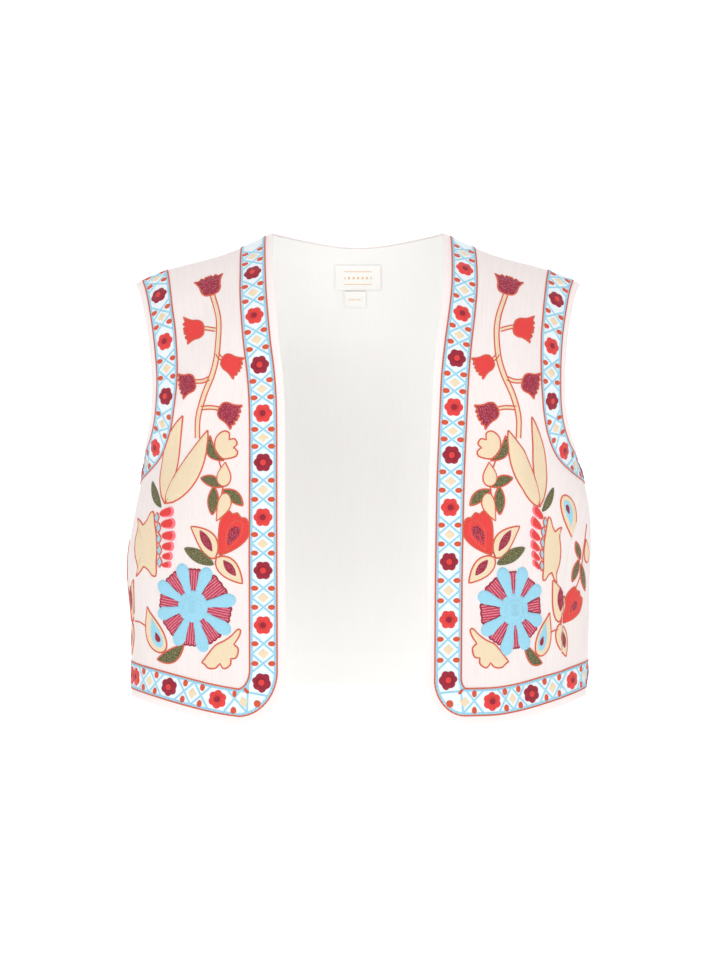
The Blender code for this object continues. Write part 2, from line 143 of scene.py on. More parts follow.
ARMHOLE = (
    ArmholePoint(-0.0485, 83.3, 96.7),
    ArmholePoint(-0.0580, 79.3, 100.6),
    ArmholePoint(-0.0750, 76.5, 103.8),
    ArmholePoint(-0.1050, 73.9, 106.3),
    ArmholePoint(-0.1450, 72.9, 106.6),
    ArmholePoint(-0.1750, 74.2, 104.8),
    ArmholePoint(-0.1940, 78.2, 100.8),
    ArmholePoint(-0.2045, 84.0, 95.4),
    ArmholePoint(-0.2080, 90.0, 90.0),
)
SIDE_SEAM = (
    SideSeam(-0.208, 90.0, 90.0),
    SideSeam(-0.240, 84.0, 82.0),
    SideSeam(-0.285, 79.5, 76.0),
    SideSeam(-0.340, 77.4, 73.6),
    SideSeam(-0.470, 77.0, 73.2),
)
FRONT_CUTS = {
    RIGHT: FrontCut(0.0440, 0.0500, 44.0, 78.0),
    LEFT: FrontCut(0.0360, 0.0420, 52.0, 88.0),
}
FOLDS = (
    Fold(RIGHT, 58, -0.070, 66, -0.150, 0.016, -0.0022),
    Fold(RIGHT, 47, -0.055, 55, -0.150, 0.015, 0.0020),
    Fold(RIGHT, 66, -0.190, 72, -0.330, 0.016, -0.0024),
    Fold(RIGHT, 38, -0.280, 44, -0.430, 0.022, 0.0016),
    Fold(RIGHT, 112, -0.200, 104, -0.400, 0.020, -0.0030),
    Fold(RIGHT, 130, -0.120, 124, -0.410, 0.026, 0.0026),
    Fold(RIGHT, 152, -0.090, 158, -0.400, 0.024, -0.0020),
    Fold(LEFT, 56, -0.075, 62, -0.170, 0.014, 0.0022),
    Fold(LEFT, 48, -0.060, 50, -0.130, 0.014, -0.0018),
    Fold(LEFT, 70, -0.200, 66, -0.300, 0.018, -0.0026),
    Fold(LEFT, 84, -0.240, 86, -0.410, 0.018, 0.0028),
    Fold(LEFT, 40, -0.300, 46, -0.430, 0.020, -0.0014),
    Fold(LEFT, 110, -0.220, 114, -0.420, 0.022, 0.0030),
    Fold(LEFT, 126, -0.130, 134, -0.400, 0.020, -0.0026),
    Fold(LEFT, 160, -0.110, 152, -0.420, 0.026, 0.0022),
    Fold(LEFT, 174, -0.140, 176, -0.350, 0.022, -0.0016),
)
# Finer creases that the solids leave out: short, shallow and uneven
CREASES = (
    Fold(RIGHT, 52, -0.046, 60, -0.092, 0.006, -0.0009),
    Fold(RIGHT, 63, -0.060, 70, -0.100, 0.005, 0.0008),
    Fold(RIGHT, 44, -0.120, 52, -0.175, 0.007, -0.0007),
    Fold(RIGHT, 60, -0.150, 70, -0.200, 0.006, 0.0009),
    Fold(RIGHT, 70, -0.215, 80, -0.250, 0.006, -0.0010),
    Fold(RIGHT, 62, -0.225, 74, -0.290, 0.008, 0.0008),
    Fold(RIGHT, 54, -0.330, 58, -0.420, 0.009, -0.0008),
    Fold(RIGHT, 70, -0.350, 73, -0.425, 0.007, 0.0010),
    Fold(RIGHT, 34, -0.200, 36, -0.300, 0.008, 0.0006),
    Fold(RIGHT, 118, -0.150, 112, -0.230, 0.008, 0.0010),
    Fold(RIGHT, 140, -0.060, 128, -0.130, 0.008, -0.0009),
    Fold(RIGHT, 166, -0.200, 170, -0.330, 0.010, 0.0008),
    Fold(RIGHT, 96, -0.250, 98, -0.380, 0.008, 0.0011),
    Fold(LEFT, 58, -0.050, 66, -0.090, 0.006, 0.0009),
    Fold(LEFT, 50, -0.085, 60, -0.125, 0.006, -0.0008),
    Fold(LEFT, 66, -0.140, 72, -0.190, 0.006, -0.0009),
    Fold(LEFT, 62, -0.200, 76, -0.235, 0.007, 0.0010),
    Fold(LEFT, 72, -0.240, 66, -0.330, 0.007, 0.0008),
    Fold(LEFT, 46, -0.190, 44, -0.280, 0.008, -0.0006),
    Fold(LEFT, 55, -0.340, 60, -0.430, 0.009, 0.0008),
    Fold(LEFT, 68, -0.340, 66, -0.425, 0.007, -0.0010),
    Fold(LEFT, 116, -0.140, 110, -0.240, 0.008, -0.0010),
    Fold(LEFT, 144, -0.060, 134, -0.140, 0.009, 0.0009),
    Fold(LEFT, 100, -0.240, 96, -0.390, 0.009, -0.0011),
    Fold(LEFT, 168, -0.240, 164, -0.380, 0.010, -0.0008),
)
UNDERARM = ARMHOLE[-1].height
FRONT_HEM = -0.4570
BACK_HEM = -0.4370
# Degrees that stitches keep from a side seam
SEAM_CLEAR = 0.15


def table_at(rows: Sequence[NamedTuple], column: str, height: Array) -> Array:
    """Read a column of a table at heights, on a smooth curve through its rows.

    Args:
        rows: the table, from its highest row to its lowest.
        column: the column's name.
        height: the heights to read at.

    Returns:
        The column's value at each height.
    """
    heights = np.array([row.height for row in rows])
    values = np.array([getattr(row, column) for row in rows])
    last = len(rows) - 1
    level = np.clip(height, heights[last], heights[0])
    index = np.clip(np.searchsorted(-heights, -level, side="left") - 1, 0, last - 1)
    before = np.maximum(np.arange(last + 1) - 1, 0)
    after = np.minimum(np.arange(last + 1) + 1, last)
    slope = (values[after] - values[before]) / (heights[after] - heights[before])
    span = heights[index + 1] - heights[index]
    part = (level - heights[index]) / span
    ends = (2 * part**3 - 3 * part**2 + 1) * values[index]
    ends = ends + (3 * part**2 - 2 * part**3) * values[index + 1]
    turns = (part**3 - 2 * part**2 + part) * slope[index] + (part**3 - part**2) * slope[index + 1]
    return ends + turns * span


def sided(side: int, rows: Sequence[NamedTuple], quantity: str, height: Array) -> Array:
    """Read the wearer's right or left column of a table at heights."""
    return table_at(rows, ("right_" if side == RIGHT else "left_") + quantity, height)


def soft_step(value: Array) -> Array:
    """Ease from 0 to 1 as a value goes from 0 to 1."""
    value = np.clip(value, 0.0, 1.0)
    return value * value * (3 - 2 * value)


def seam_foot(side: int) -> float:
    """Angle at which the side seam meets the hem."""
    return float(sided(side, SIDE_SEAM, "angle", np.asarray(BACK_HEM)))


def unit(vectors: Array) -> Array:
    """Directions at length 1."""
    return vectors / np.maximum(np.linalg.norm(vectors, axis=-1, keepdims=True), 1e-12)


def dots(first: Array, second: Array) -> Array:
    """Dot product of each pair of directions."""
    return np.einsum("ij,ij->i", first, second)


def run_along(points: Array) -> Array:
    """Distance travelled to each point of a line, or of each row of a grid."""
    steps = np.linalg.norm(np.diff(points, axis=-2), axis=-1)
    return np.concatenate([np.zeros((*steps.shape[:-1], 1)), np.cumsum(steps, axis=-1)], axis=-1)


@dataclass(frozen=True)
class Figure:
    """The smooth form that the cloth follows, in the solids' own sizes."""

    neck_half_width: float = 0.0808
    shoulder_half_width: float = 0.2110
    shoulder_drop: float = 0.0485
    shoulder_sag: float = 0.0034
    shoulder_crest: float = 0.0019
    sag_share: float = 0.62
    front_rounding: float = 0.130
    back_rounding: float = 0.120
    rounding_power: float = 1.8
    crown_power: float = 1.5
    back_neck_drop: float = 0.0080
    back_neck_power: float = 1.5
    fold_radius: float = 0.125
    fold_fade: float = 0.045
    fold_end: float = 0.25
    turn_step: float = 0.4
    height_step: float = 0.0008

    def ridge(self, across: Array) -> Array:
        """Height of the shoulder line at distances from the centre, carried on over the neck."""
        width = self.shoulder_half_width - self.neck_half_width
        slope = self.shoulder_drop / width
        share = np.clip((across - self.neck_half_width) / width, 0.0, 1.0)
        sag = -self.shoulder_sag * np.sin(np.pi * share / self.sag_share)
        past = (share - self.sag_share) / (1 - self.sag_share)
        wave = np.where(share < self.sag_share, sag, self.shoulder_crest * np.sin(np.pi * past))
        seam = (self.neck_half_width - across) * slope + wave
        near = np.clip(across / self.neck_half_width, 0.0, 1.0)
        crown = self.neck_half_width * slope / self.crown_power * (1 - near**self.crown_power)
        return np.where(across >= self.neck_half_width, seam, crown)

    def section(self, side: int, height: Array, front: Array) -> tuple[Array, Array, Array]:
        """Half width, depth and squareness of the figure at heights."""
        width = sided(side, SECTIONS, "width", height)
        front_depth = table_at(SECTIONS, "front_depth", height)
        back_depth = table_at(SECTIONS, "back_depth", height)
        return width, np.where(front, front_depth, back_depth), sided(side, SECTIONS, "square", height)

    def bare(self, side: int, angle: Array, height: Array) -> Array:
        """Points of the figure without its folds."""
        angle, height = np.broadcast_arrays(np.asarray(angle, float), np.asarray(height, float))
        front = angle <= 90
        width, depth, square = self.section(side, height, front)
        turn = np.radians(angle)
        cosine = np.abs(np.cos(turn))
        radius = ((np.abs(np.sin(turn)) / width) ** square + (cosine / depth) ** square) ** (-1 / square)
        across = radius * np.sin(turn)
        drop = self.ridge(np.abs(across)) - height
        full = np.where(front, self.front_rounding, self.back_rounding)
        left = 1 - np.clip(drop / full, 0.0, 1.0)
        share = (1 - left**self.rounding_power) ** (1 / self.rounding_power)
        reach = radius * cosine * share
        return np.stack([side * across, np.where(front, -reach, reach), height], axis=-1)

    def angle_at(self, side: int, across: Array, height: Array, front: bool = True) -> Array:
        """Angle of the points that lie this far from the centre."""
        width, depth, square = self.section(side, np.asarray(height, float), np.asarray(front))
        reach = depth * (1 - (across / width) ** square) ** (1 / square)
        angle = np.degrees(np.arctan2(across, reach))
        return angle if front else 180 - angle

    def ways(self, side: int, angle: Array, height: Array) -> tuple[Array, Array]:
        """Change of place for a degree round and for a metre up."""
        across = np.abs(self.bare(side, angle, height)[..., 0])
        level = np.minimum(height, self.ridge(across) - 3 * self.height_step)
        ahead = self.bare(side, angle + self.turn_step, level)
        behind = self.bare(side, angle - self.turn_step, level)
        above = self.bare(side, angle, level + self.height_step)
        below = self.bare(side, angle, level - self.height_step)
        return (ahead - behind) / (2 * self.turn_step), (above - below) / (2 * self.height_step)

    def outward(self, side: int, angle: Array, height: Array) -> Array:
        """Directions straight out of the cloth. On the shoulder seam they lie in its plane."""
        across = np.abs(self.bare(side, angle, height)[..., 0])
        along, up = self.ways(side, angle, height)
        normal = unit(np.cross(along, up)) * side
        level = (self.ridge(across) - height < self.height_step)[..., None]
        return np.where(level, unit(normal * np.array([1.0, 0.0, 1.0])), normal)

    def pushed(self, side: int, angle: Array, height: Array, drop: Array) -> Array:
        """How far the folds and creases push the cloth out."""
        push = np.zeros(np.shape(angle))
        across = np.radians(angle) * self.fold_radius
        for fold in FOLDS + CREASES:
            if fold.side != side:
                continue
            start = math.radians(fold.start_angle) * self.fold_radius
            run = math.radians(fold.end_angle) * self.fold_radius - start
            fall = fold.end_height - fold.start_height
            length = math.hypot(run, fall)
            along = ((across - start) * run + (height - fold.start_height) * fall) / length**2
            aside = ((across - start) * fall - (height - fold.start_height) * run) / length
            ease = soft_step((along + self.fold_end) / (2 * self.fold_end))
            ease = ease * soft_step((1 + self.fold_end - along) / (2 * self.fold_end))
            push += fold.depth * ease * np.exp(-((aside / fold.width) ** 2))
        return push * soft_step(drop / self.fold_fade)

    def place(self, side: int, angle: Array, height: Array, out: Array | float) -> tuple[Array, Array]:
        """Points of the folded cloth, moved straight out.

        Args:
            side: the wearer's right or left.
            angle: angles from the centre front.
            height: heights.
            out: how far to move each point out.

        Returns:
            The points and the directions out of the cloth there.
        """
        bare = self.bare(side, angle, height)
        drop = self.ridge(np.abs(bare[..., 0])) - height
        normal = self.outward(side, angle, height)
        reach = self.pushed(side, angle, height, drop) + out
        return bare + np.asarray(reach)[..., None] * normal, normal

    def hem(self, side: int, angle: Array) -> Array:
        """Height of the hem: level round the back, dipping towards the fronts."""
        cut = FRONT_CUTS[side]
        part = (angle - cut.rise_start) / (cut.rise_end - cut.rise_start)
        return FRONT_HEM + (BACK_HEM - FRONT_HEM) * soft_step(part)

    def corner(self, side: int, turn: Array) -> tuple[Array, Array]:
        """Places round the front's lower corner, from its edge (0) to its hem (1)."""
        cut = FRONT_CUTS[side]
        quarter = turn * np.pi / 2
        edge = sided(side, FRONT_EDGE, "gap", np.asarray(FRONT_HEM))
        height = FRONT_HEM + cut.corner_height * (1 - np.sin(quarter))
        across = edge + cut.corner_width * (1 - np.cos(quarter))
        return self.angle_at(side, across, height), height

    def shoulder(self, side: int, part: Array, front: bool) -> tuple[Array, Array]:
        """Places along the shoulder seam, from the neck point to the shoulder tip."""
        width = self.shoulder_half_width - self.neck_half_width
        across = self.neck_half_width + width * np.asarray(part, float)
        height = self.ridge(across)
        return self.angle_at(side, across, height, front), height

    def back_neck(self, side: int, part: Array) -> tuple[Array, Array]:
        """Places along the back neckline, from the centre back to the neck point."""
        part = np.asarray(part, float)
        level = np.maximum(np.cos(np.pi / 2 * np.abs(part)), 0.0)
        height = -self.back_neck_drop * level**self.back_neck_power
        angle = self.angle_at(side, self.neck_half_width * np.abs(part), height, False)
        return np.where(part < 0, 360 - angle, angle), height

    def armhole(self, front: bool, steps: int) -> tuple[Array, Array]:
        """Places down the armhole edge, from the shoulder tip to the underarm."""
        heights = np.array([row.height for row in ARMHOLE])
        reach = np.linspace(0, len(ARMHOLE) - 1, steps)
        height = np.interp(reach, np.arange(len(ARMHOLE)), heights)
        return table_at(ARMHOLE, "front_angle" if front else "back_angle", height), height


FIGURE = Figure()


def spaced(places: tuple[Array, Array], share: Array, radius: float = 0.190) -> tuple[Array, Array]:
    """Places at shares of the length of a line of (angles, heights)."""
    angle, height = places
    steps = np.hypot(np.diff(np.radians(angle)) * radius, np.diff(height))
    run = np.concatenate([[0.0], np.cumsum(steps)])
    wanted = np.asarray(share) * run[-1]
    return np.interp(wanted, run, angle), np.interp(wanted, run, height)


def front_line(side: int) -> tuple[Array, Array]:
    """Finished edge of a front: from the neck point down, round the corner, to the side seam."""
    cut = FRONT_CUTS[side]
    level = np.linspace(0.0, FRONT_HEM + cut.corner_height, 200)
    edge = FIGURE.angle_at(side, sided(side, FRONT_EDGE, "gap", level), level)
    round_angle, round_height = FIGURE.corner(side, np.linspace(0, 1, 60)[1:])
    hem_angle = np.linspace(round_angle[-1], seam_foot(side), 60)[1:]
    angles = np.concatenate([edge, round_angle, hem_angle])
    return angles, np.concatenate([level, round_height, FIGURE.hem(side, hem_angle)])


def back_hem_line(side: int) -> tuple[Array, Array]:
    """Hem of the back, from the side seam to just past the centre."""
    angle = np.linspace(seam_foot(side), 184.0, 200)
    return angle, FIGURE.hem(side, angle)


def back_neck_line(side: int) -> tuple[Array, Array]:
    """Back neckline, from the neck point to just past the centre."""
    return FIGURE.back_neck(side, np.linspace(1.0, -0.12, 160))


def armhole_line() -> tuple[Array, Array]:
    """Whole armhole edge, from the front of the shoulder tip to the back of it."""
    down = FIGURE.armhole(True, 160)
    up = FIGURE.armhole(False, 160)
    return np.concatenate([down[0], up[0][-2::-1]]), np.concatenate([down[1], up[1][-2::-1]])


def bilinear(table: Array, row: Array, column: Array) -> Array:
    """Read a table between its rows and columns."""
    row = np.clip(row, 0, table.shape[0] - 1.001)
    column = np.clip(column, 0, table.shape[1] - 1.001)
    low_row = row.astype(int)
    low_column = column.astype(int)
    down = row - low_row
    over = column - low_column
    near = table[low_row, low_column] * (1 - over) + table[low_row, low_column + 1] * over
    far = table[low_row + 1, low_column] * (1 - over) + table[low_row + 1, low_column + 1] * over
    return near * (1 - down) + far * down


class Chart:
    """Flat chart of one side of the cloth: level distances in millimetres, and heights."""

    step: float = 0.001
    rise: float = 0.002
    heights_span: tuple[float, float] = (-0.480, 0.0005)
    reach_span: tuple[float, float] = (-0.030, 0.470)
    angles_span: tuple[float, float, float] = (14.0, 186.5, 0.5)
    squeeze_from: float = 90.0

    def __init__(self, side: int) -> None:
        """Measure the cloth round from the front edge, and from the centre back."""
        self.side = side
        self.heights = np.arange(*self.heights_span, self.rise)
        angles = np.arange(*self.angles_span)
        angle_grid, height_grid = np.meshgrid(angles, self.heights)
        run = run_along(FIGURE.bare(side, angle_grid, height_grid))
        gap = sided(side, FRONT_EDGE, "gap", self.heights)
        edge = FIGURE.angle_at(side, gap, self.heights)
        reach = np.arange(*self.reach_span, self.step)
        self.reach_start = reach[0]
        self.front = np.zeros((len(self.heights), len(reach)))
        self.back = np.zeros((len(self.heights), len(reach)))
        for row, travelled in enumerate(run):
            start = np.interp(edge[row], angles, travelled)
            centre = np.interp(180.0, angles, travelled)
            self.front[row] = np.interp(start + reach, travelled, angles)
            self.back[row] = np.interp(centre - reach, travelled, angles)

    def mapper(
        self,
        from_back: bool,
        on_back: bool,
        shift: tuple[float, float] = (0.0, 0.0),
        squeeze: tuple[float, float] = (1.0, 0.0),
    ) -> Mapper:
        """A way to turn chart places to places on the cloth.

        Args:
            from_back: measure from the centre back, not from the front edge.
            on_back: the stitches lie on the back panel, not on the front.
            shift: millimetres to move everything, sideways and up.
            squeeze: share that is left of distances past squeeze_from, and how much each sinks.

        Returns:
            A function from distances and heights (mm) to angles, heights and whether each lies
            on its panel. What lies past the side seam is drawn back to it.
        """
        table = self.back if from_back else self.front

        def reach_cloth(reach: Array, height: Array) -> tuple[Array, Array, Array]:
            """Angles, heights, and whether each is on the panel."""
            past = np.maximum(reach - self.squeeze_from, 0.0)
            level = (height + shift[1] - past * squeeze[1]) * MM
            row = (level - self.heights[0]) / self.rise
            moved = reach + shift[0] - past * (1 - squeeze[0])
            column = (moved * MM - self.reach_start) / self.step
            angle = bilinear(table, row, column)
            seam = sided(self.side, SIDE_SEAM, "angle", level)
            if on_back:
                return np.maximum(angle, seam + SEAM_CLEAR), level, angle > seam + SEAM_CLEAR
            return np.minimum(angle, seam - SEAM_CLEAR), level, angle < seam - SEAM_CLEAR

        return reach_cloth


class Band:
    """A strip of cloth along a finished edge: millimetres along it, and in from it."""

    depth_step: float = 0.003
    rows_in: int = 14
    middle_row: int = 7
    end_blend: float = 0.035
    easing: float = 5.0
    along_step: float = 0.0015
    ridge_clear: float = 0.0002

    def __init__(
        self,
        side: int,
        line: tuple[Array, Array],
        towards: tuple[float, float],
        start_way: Array | None = None,
        end_way: Array | None = None,
    ) -> None:
        """March in from the edge, straight across the cloth.

        Args:
            side: the wearer's right or left.
            line: angles and heights of the edge.
            towards: a place well inside the cloth.
            start_way: direction of the strip's first end, where a seam cuts it.
            end_way: direction of its last end.
        """
        self.side = side
        angle, height = line
        run = run_along(FIGURE.bare(side, angle, height))
        even = np.linspace(0, run[-1], int(run[-1] / self.along_step))
        angle = np.interp(even, run, angle)
        height = np.interp(even, run, height)
        points = FIGURE.bare(side, angle, height)
        tangent = unit(np.gradient(points, axis=0))
        way = np.cross(FIGURE.outward(side, angle, height), tangent)
        middle = len(angle) // 2
        aim = FIGURE.bare(side, towards[0], towards[1]) - points[middle]
        way = unit(way) * (1.0 if float(way[middle] @ aim) > 0 else -1.0)
        for end_direction, away in ((start_way, even), (end_way, even[-1] - even)):
            if end_direction is not None:
                share = (np.clip(1 - away / self.end_blend, 0, 1) ** 2)[:, None]
                way = unit(share * end_direction + (1 - share) * way)
        angles = [angle]
        heights = [height]
        for _ in range(self.rows_in):
            round_way, up_way = FIGURE.ways(side, angle, height)
            first = dots(round_way, round_way)
            cross = dots(round_way, up_way)
            second = dots(up_way, up_way)
            to_round = dots(round_way, way) * self.depth_step
            to_up = dots(up_way, way) * self.depth_step
            size = first * second - cross * cross
            turn = (to_round * second - to_up * cross) / size
            lift = (to_up * first - to_round * cross) / size
            angle = angle + turn
            height = height + lift
            across = np.abs(FIGURE.bare(side, angle, height)[:, 0])
            height = np.minimum(height, FIGURE.ridge(across) - self.ridge_clear)
            way = unit(turn[:, None] * round_way + lift[:, None] * up_way)
            angles.append(angle)
            heights.append(height)
        self.angles = np.array([self.eased(row, index) for index, row in enumerate(angles)])
        self.heights = np.array([self.eased(row, index) for index, row in enumerate(heights)])
        self.run = run_along(
            FIGURE.bare(side, self.angles[self.middle_row], self.heights[self.middle_row])
        )
        self.length = self.run[-1] / MM

    def eased(self, values: Array, row: int) -> Array:
        """Round off what is sharp in a row of the strip, more so the further in it lies."""
        spread = self.easing * row / self.rows_in
        if spread < 1:
            return values
        reach = int(3 * spread)
        kernel = np.exp(-0.5 * (np.arange(-reach, reach + 1) / spread) ** 2)
        before = 2 * values[0] - values[reach:0:-1]
        after = 2 * values[-1] - values[-2 : -reach - 2 : -1]
        return np.convolve(np.concatenate([before, values, after]), kernel / kernel.sum(), "valid")

    def to_cloth(self, along: Array, inward: Array) -> tuple[Array, Array, Array]:
        """Places at millimetres along the strip and in from its edge, and whether they are on it."""
        column = np.interp(along * MM, self.run, np.arange(len(self.run)))
        row = inward * MM / self.depth_step
        inside = (along > -0.01) & (along < self.length + 0.01)
        return bilinear(self.angles, row, column), bilinear(self.heights, row, column), inside

    def nearest(self, angle: float, height: float, inward: float = 21.0) -> float:
        """Millimetres along the strip to the place nearest to one on the cloth."""
        row = int(round(inward * MM / self.depth_step))
        points = FIGURE.bare(self.side, self.angles[row], self.heights[row])
        target = FIGURE.bare(self.side, angle, height)
        index = int(np.argmin(np.linalg.norm(points - target, axis=1)))
        return float(self.run[index] / MM)


def linear(code: str) -> tuple[float, float, float, float]:
    """Turn an sRGB hex colour to linear values."""
    parts = [int(code[start : start + 2], 16) / 255 for start in (1, 3, 5)]
    red, green, blue = (v / 12.92 if v <= 0.04045 else ((v + 0.055) / 1.055) ** 2.4 for v in parts)
    return red, green, blue, 1.0


def add_node(tree: bpy.types.NodeTree, kind: str, settings: dict, links: dict) -> bpy.types.Node:
    """Add a node.

    Args:
        tree: the node tree.
        kind: the node's type.
        settings: properties of the node, or values of its inputs, by name or number.
        links: sockets to join to its inputs, by name or number.

    Returns:
        The new node.
    """
    node = tree.nodes.new(kind)
    for key, value in settings.items():
        if isinstance(key, str) and hasattr(node, key):
            setattr(node, key, value)
        else:
            node.inputs[key].default_value = value
    for key, socket in links.items():
        tree.links.new(socket, node.inputs[key])
    return node


def new_material(name: str) -> tuple[bpy.types.Material, bpy.types.NodeTree, bpy.types.Node]:
    """An empty node material, with its tree and its shader."""
    made = bpy.data.materials.new(name)
    made.use_nodes = True
    return made, made.node_tree, made.node_tree.nodes["Principled BSDF"]


# Period of Blender's wave bands at scale 1, in units of the texture's space
WAVE_PERIOD = math.pi / 10
Socket = bpy.types.NodeSocket


class Sketch:
    """A node material while it is drawn, with short ways to add what the finishes share."""

    def __init__(self, name: str) -> None:
        """Start a material whose textures lie on the UV map."""
        self.made, self.tree, self.shader = new_material(name)
        self.uv = self.add("ShaderNodeUVMap", {"uv_map": "UVMap"}, {}, "UV")

    def add(self, kind: str, settings: dict, links: dict, output: str | int = 0) -> Socket:
        """Output of a new node."""
        return add_node(self.tree, kind, settings, links).outputs[output]

    def calc(self, operation: str, *values: Socket | float) -> Socket:
        """Result of an operation on sockets and numbers."""
        numbers = {place: value for place, value in enumerate(values) if isinstance(value, float)}
        sockets = {place: value for place, value in enumerate(values) if place not in numbers}
        return self.add("ShaderNodeMath", {"operation": operation, **numbers}, sockets)

    def ramp(self, value: Socket, low: float, high: float) -> Socket:
        """Rise from 0 to 1 as a value goes from one level to another."""
        return self.add("ShaderNodeMapRange", {"From Min": low, "From Max": high}, {"Value": value})

    def mix(self, share: Socket, first: Socket | str, second: Socket | str) -> Socket:
        """Blend of two colours, each a socket or a hex code."""
        settings = {"data_type": "RGBA"}
        links = {0: share}
        for place, colour in ((6, first), (7, second)):
            if isinstance(colour, str):
                settings[place] = linear(colour)
            else:
                links[place] = colour
        return self.add("ShaderNodeMix", settings, links, 2)

    def noise(self, scale: float, detail: float, vector: Socket) -> Socket:
        """Soft noise."""
        return self.add("ShaderNodeTexNoise", {"Scale": scale, "Detail": detail}, {"Vector": vector}, "Fac")

    def stretched(self, width: float, length: float) -> Socket:
        """The UV map in units of a width and a length."""
        scale = (1 / width, 1 / length, 1.0)
        return self.add("ShaderNodeMapping", {"Scale": scale}, {"Vector": self.uv})

    def waves(self, direction: str, gap: float, **shape: float) -> Socket:
        """Rows that lie a gap apart."""
        settings = {"bands_direction": direction, "Scale": WAVE_PERIOD / gap}
        settings.update({name.replace("_", " ").title(): value for name, value in shape.items()})
        return self.add("ShaderNodeTexWave", settings, {"Vector": self.uv}, "Fac")

    def finish(self, colour: Socket, reliefs: Sequence[tuple], **surface: float) -> bpy.types.Material:
        """Join the colour and the relief to the surface.

        Args:
            colour: the surface's colour.
            reliefs: height socket, strength and depth of each relief, one upon the other.
            surface: other inputs of the shader, by name in lower case.

        Returns:
            The material.
        """
        self.tree.links.new(colour, self.shader.inputs["Base Color"])
        below = {}
        for height, strength, depth in reliefs:
            settings = {"Strength": strength, "Distance": depth}
            below = {"Normal": self.add("ShaderNodeBump", settings, {"Height": height, **below})}
        self.tree.links.new(below["Normal"], self.shader.inputs["Normal"])
        for name, value in surface.items():
            title = "Specular IOR Level" if name == "specular" else name.replace("_", " ").title()
            self.shader.inputs[title].default_value = value
        return self.made


@dataclass(frozen=True)
class WovenCotton:
    """Plain-weave cotton: matt, with slightly uneven threads that show as faint streaks."""

    name: str
    ground: str
    streak: str
    margin: str
    band: str
    # Real threads are about 0.4 mm apart; they are drawn twice as coarse, so as to show
    thread_gap: float = 0.0008
    slub_width: float = 0.0022
    slub_length: float = 0.030
    roughness: float = 0.86
    weave_depth: float = 0.00007
    slub_depth: float = 0.00025
    sheen: float = 0.10
    band_softness: float = 0.0006

    def make(self) -> bpy.types.Material:
        """Build the material. It reads the UV map in metres and the attribute edge."""
        sketch = Sketch(self.name)
        slub = sketch.noise(1.0, 3.0, sketch.stretched(self.slub_width, self.slub_length))
        warp = sketch.waves("X", self.thread_gap, distortion=0.6)
        weft = sketch.waves("Y", self.thread_gap, distortion=0.6)
        weave = sketch.calc("MAXIMUM", warp, weft)
        cloth = sketch.mix(sketch.ramp(slub, 0.35, 0.75), self.ground, self.streak)
        edge = sketch.add("ShaderNodeAttribute", {"attribute_name": "edge"}, {}, "Fac")
        first = BORDER_OUT * MM
        last = BORDER_IN * MM
        within = sketch.ramp(edge, last + self.band_softness, last - self.band_softness)
        cloth = sketch.mix(within, cloth, self.band)
        past_margin = sketch.ramp(edge, first - self.band_softness, first + self.band_softness)
        cloth = sketch.mix(past_margin, self.margin, cloth)
        reliefs = ((weave, 0.6, self.weave_depth), (slub, 0.5, self.slub_depth))
        return sketch.finish(
            cloth, reliefs, roughness=self.roughness, specular=0.25, sheen_weight=self.sheen,
            sheen_roughness=0.5,
        )


@dataclass(frozen=True)
class StitchedThread:
    """Filling of side-by-side cotton threads: rows of light and dark, the dark painted shade in the grooves
    between rows (for the mesh stitch, the cloth seen between its lines), with a soft lustre.
    """

    name: str
    # light: colour of each row's crest; dark: painted shade in the grooves between rows, for the mesh stitch
    # the cloth seen between its lines
    light: str
    dark: str
    speckle: str = ""
    speckle_share: float = 0.0
    # Stranded cotton lies about 0.6 mm apart; it is drawn a little coarser, so as to show
    row_gap: float = 0.0010
    stitch_length: float = 0.0032
    roughness: float = 0.62
    row_depth: float = 0.00022
    speckle_size: float = 0.0010

    def make(self) -> bpy.types.Material:
        """Build the material. It reads the UV map: across the threads, and along them."""
        sketch = Sketch(self.name)
        row = sketch.waves("X", self.row_gap, distortion=1.2, detail=1.0, detail_scale=1.5)
        uneven = sketch.noise(0.9, 2.0, sketch.stretched(self.row_gap, self.stitch_length))
        blend = {"data_type": "FLOAT", 0: 0.55}
        # Each row is darker where its relief is low: painted shade between the threads, mixed with uneven
        # thread tone from the noise
        relief_and_shade = sketch.ramp(sketch.add("ShaderNodeMix", blend, {2: row, 3: uneven}), 0.2, 0.62)
        colour = sketch.mix(relief_and_shade, self.dark, self.light)
        if self.speckle:
            grain = sketch.noise(1 / self.speckle_size, 0.0, sketch.uv)
            level = 1 - self.speckle_share
            colour = sketch.mix(sketch.ramp(grain, level, level + 0.05), colour, self.speckle)
        reliefs = ((relief_and_shade, 0.8, self.row_depth),)
        return sketch.finish(
            colour, reliefs, roughness=self.roughness, specular=0.35, sheen_weight=0.15, sheen_roughness=0.4
        )


@dataclass(frozen=True)
class ChainStitch:
    """Line of chain stitch: a row of small links, which shows as a beaded cord, darker where each link dips
    as painted shade between the links.
    """

    name: str
    # light: colour of each link's crest; dark: painted shade between the links
    light: str
    dark: str
    link: float = 0.0024
    lean: float = 1.3
    depth: float = 0.00025
    roughness: float = 0.6

    def make(self) -> bpy.types.Material:
        """Build the material. It reads the UV map: across the cord, and along it."""
        sketch = Sketch(self.name)
        aside = sketch.add("ShaderNodeSeparateXYZ", {}, {"Vector": sketch.uv}, 0)
        along = sketch.add("ShaderNodeSeparateXYZ", {}, {"Vector": sketch.uv}, 1)
        lean = sketch.calc("MULTIPLY", sketch.calc("ABSOLUTE", aside), self.lean)
        phase = sketch.calc("MULTIPLY", sketch.calc("ADD", along, lean), 2 * math.pi / self.link)
        # The links darken where their relief dips: painted shade between them
        relief_and_shade = sketch.ramp(sketch.calc("SINE", phase), -1.0, 0.6)
        colour = sketch.mix(relief_and_shade, self.dark, self.light)
        reliefs = ((relief_and_shade, 0.8, self.depth),)
        return sketch.finish(colour, reliefs, roughness=self.roughness, specular=0.35, sheen_weight=0.15)


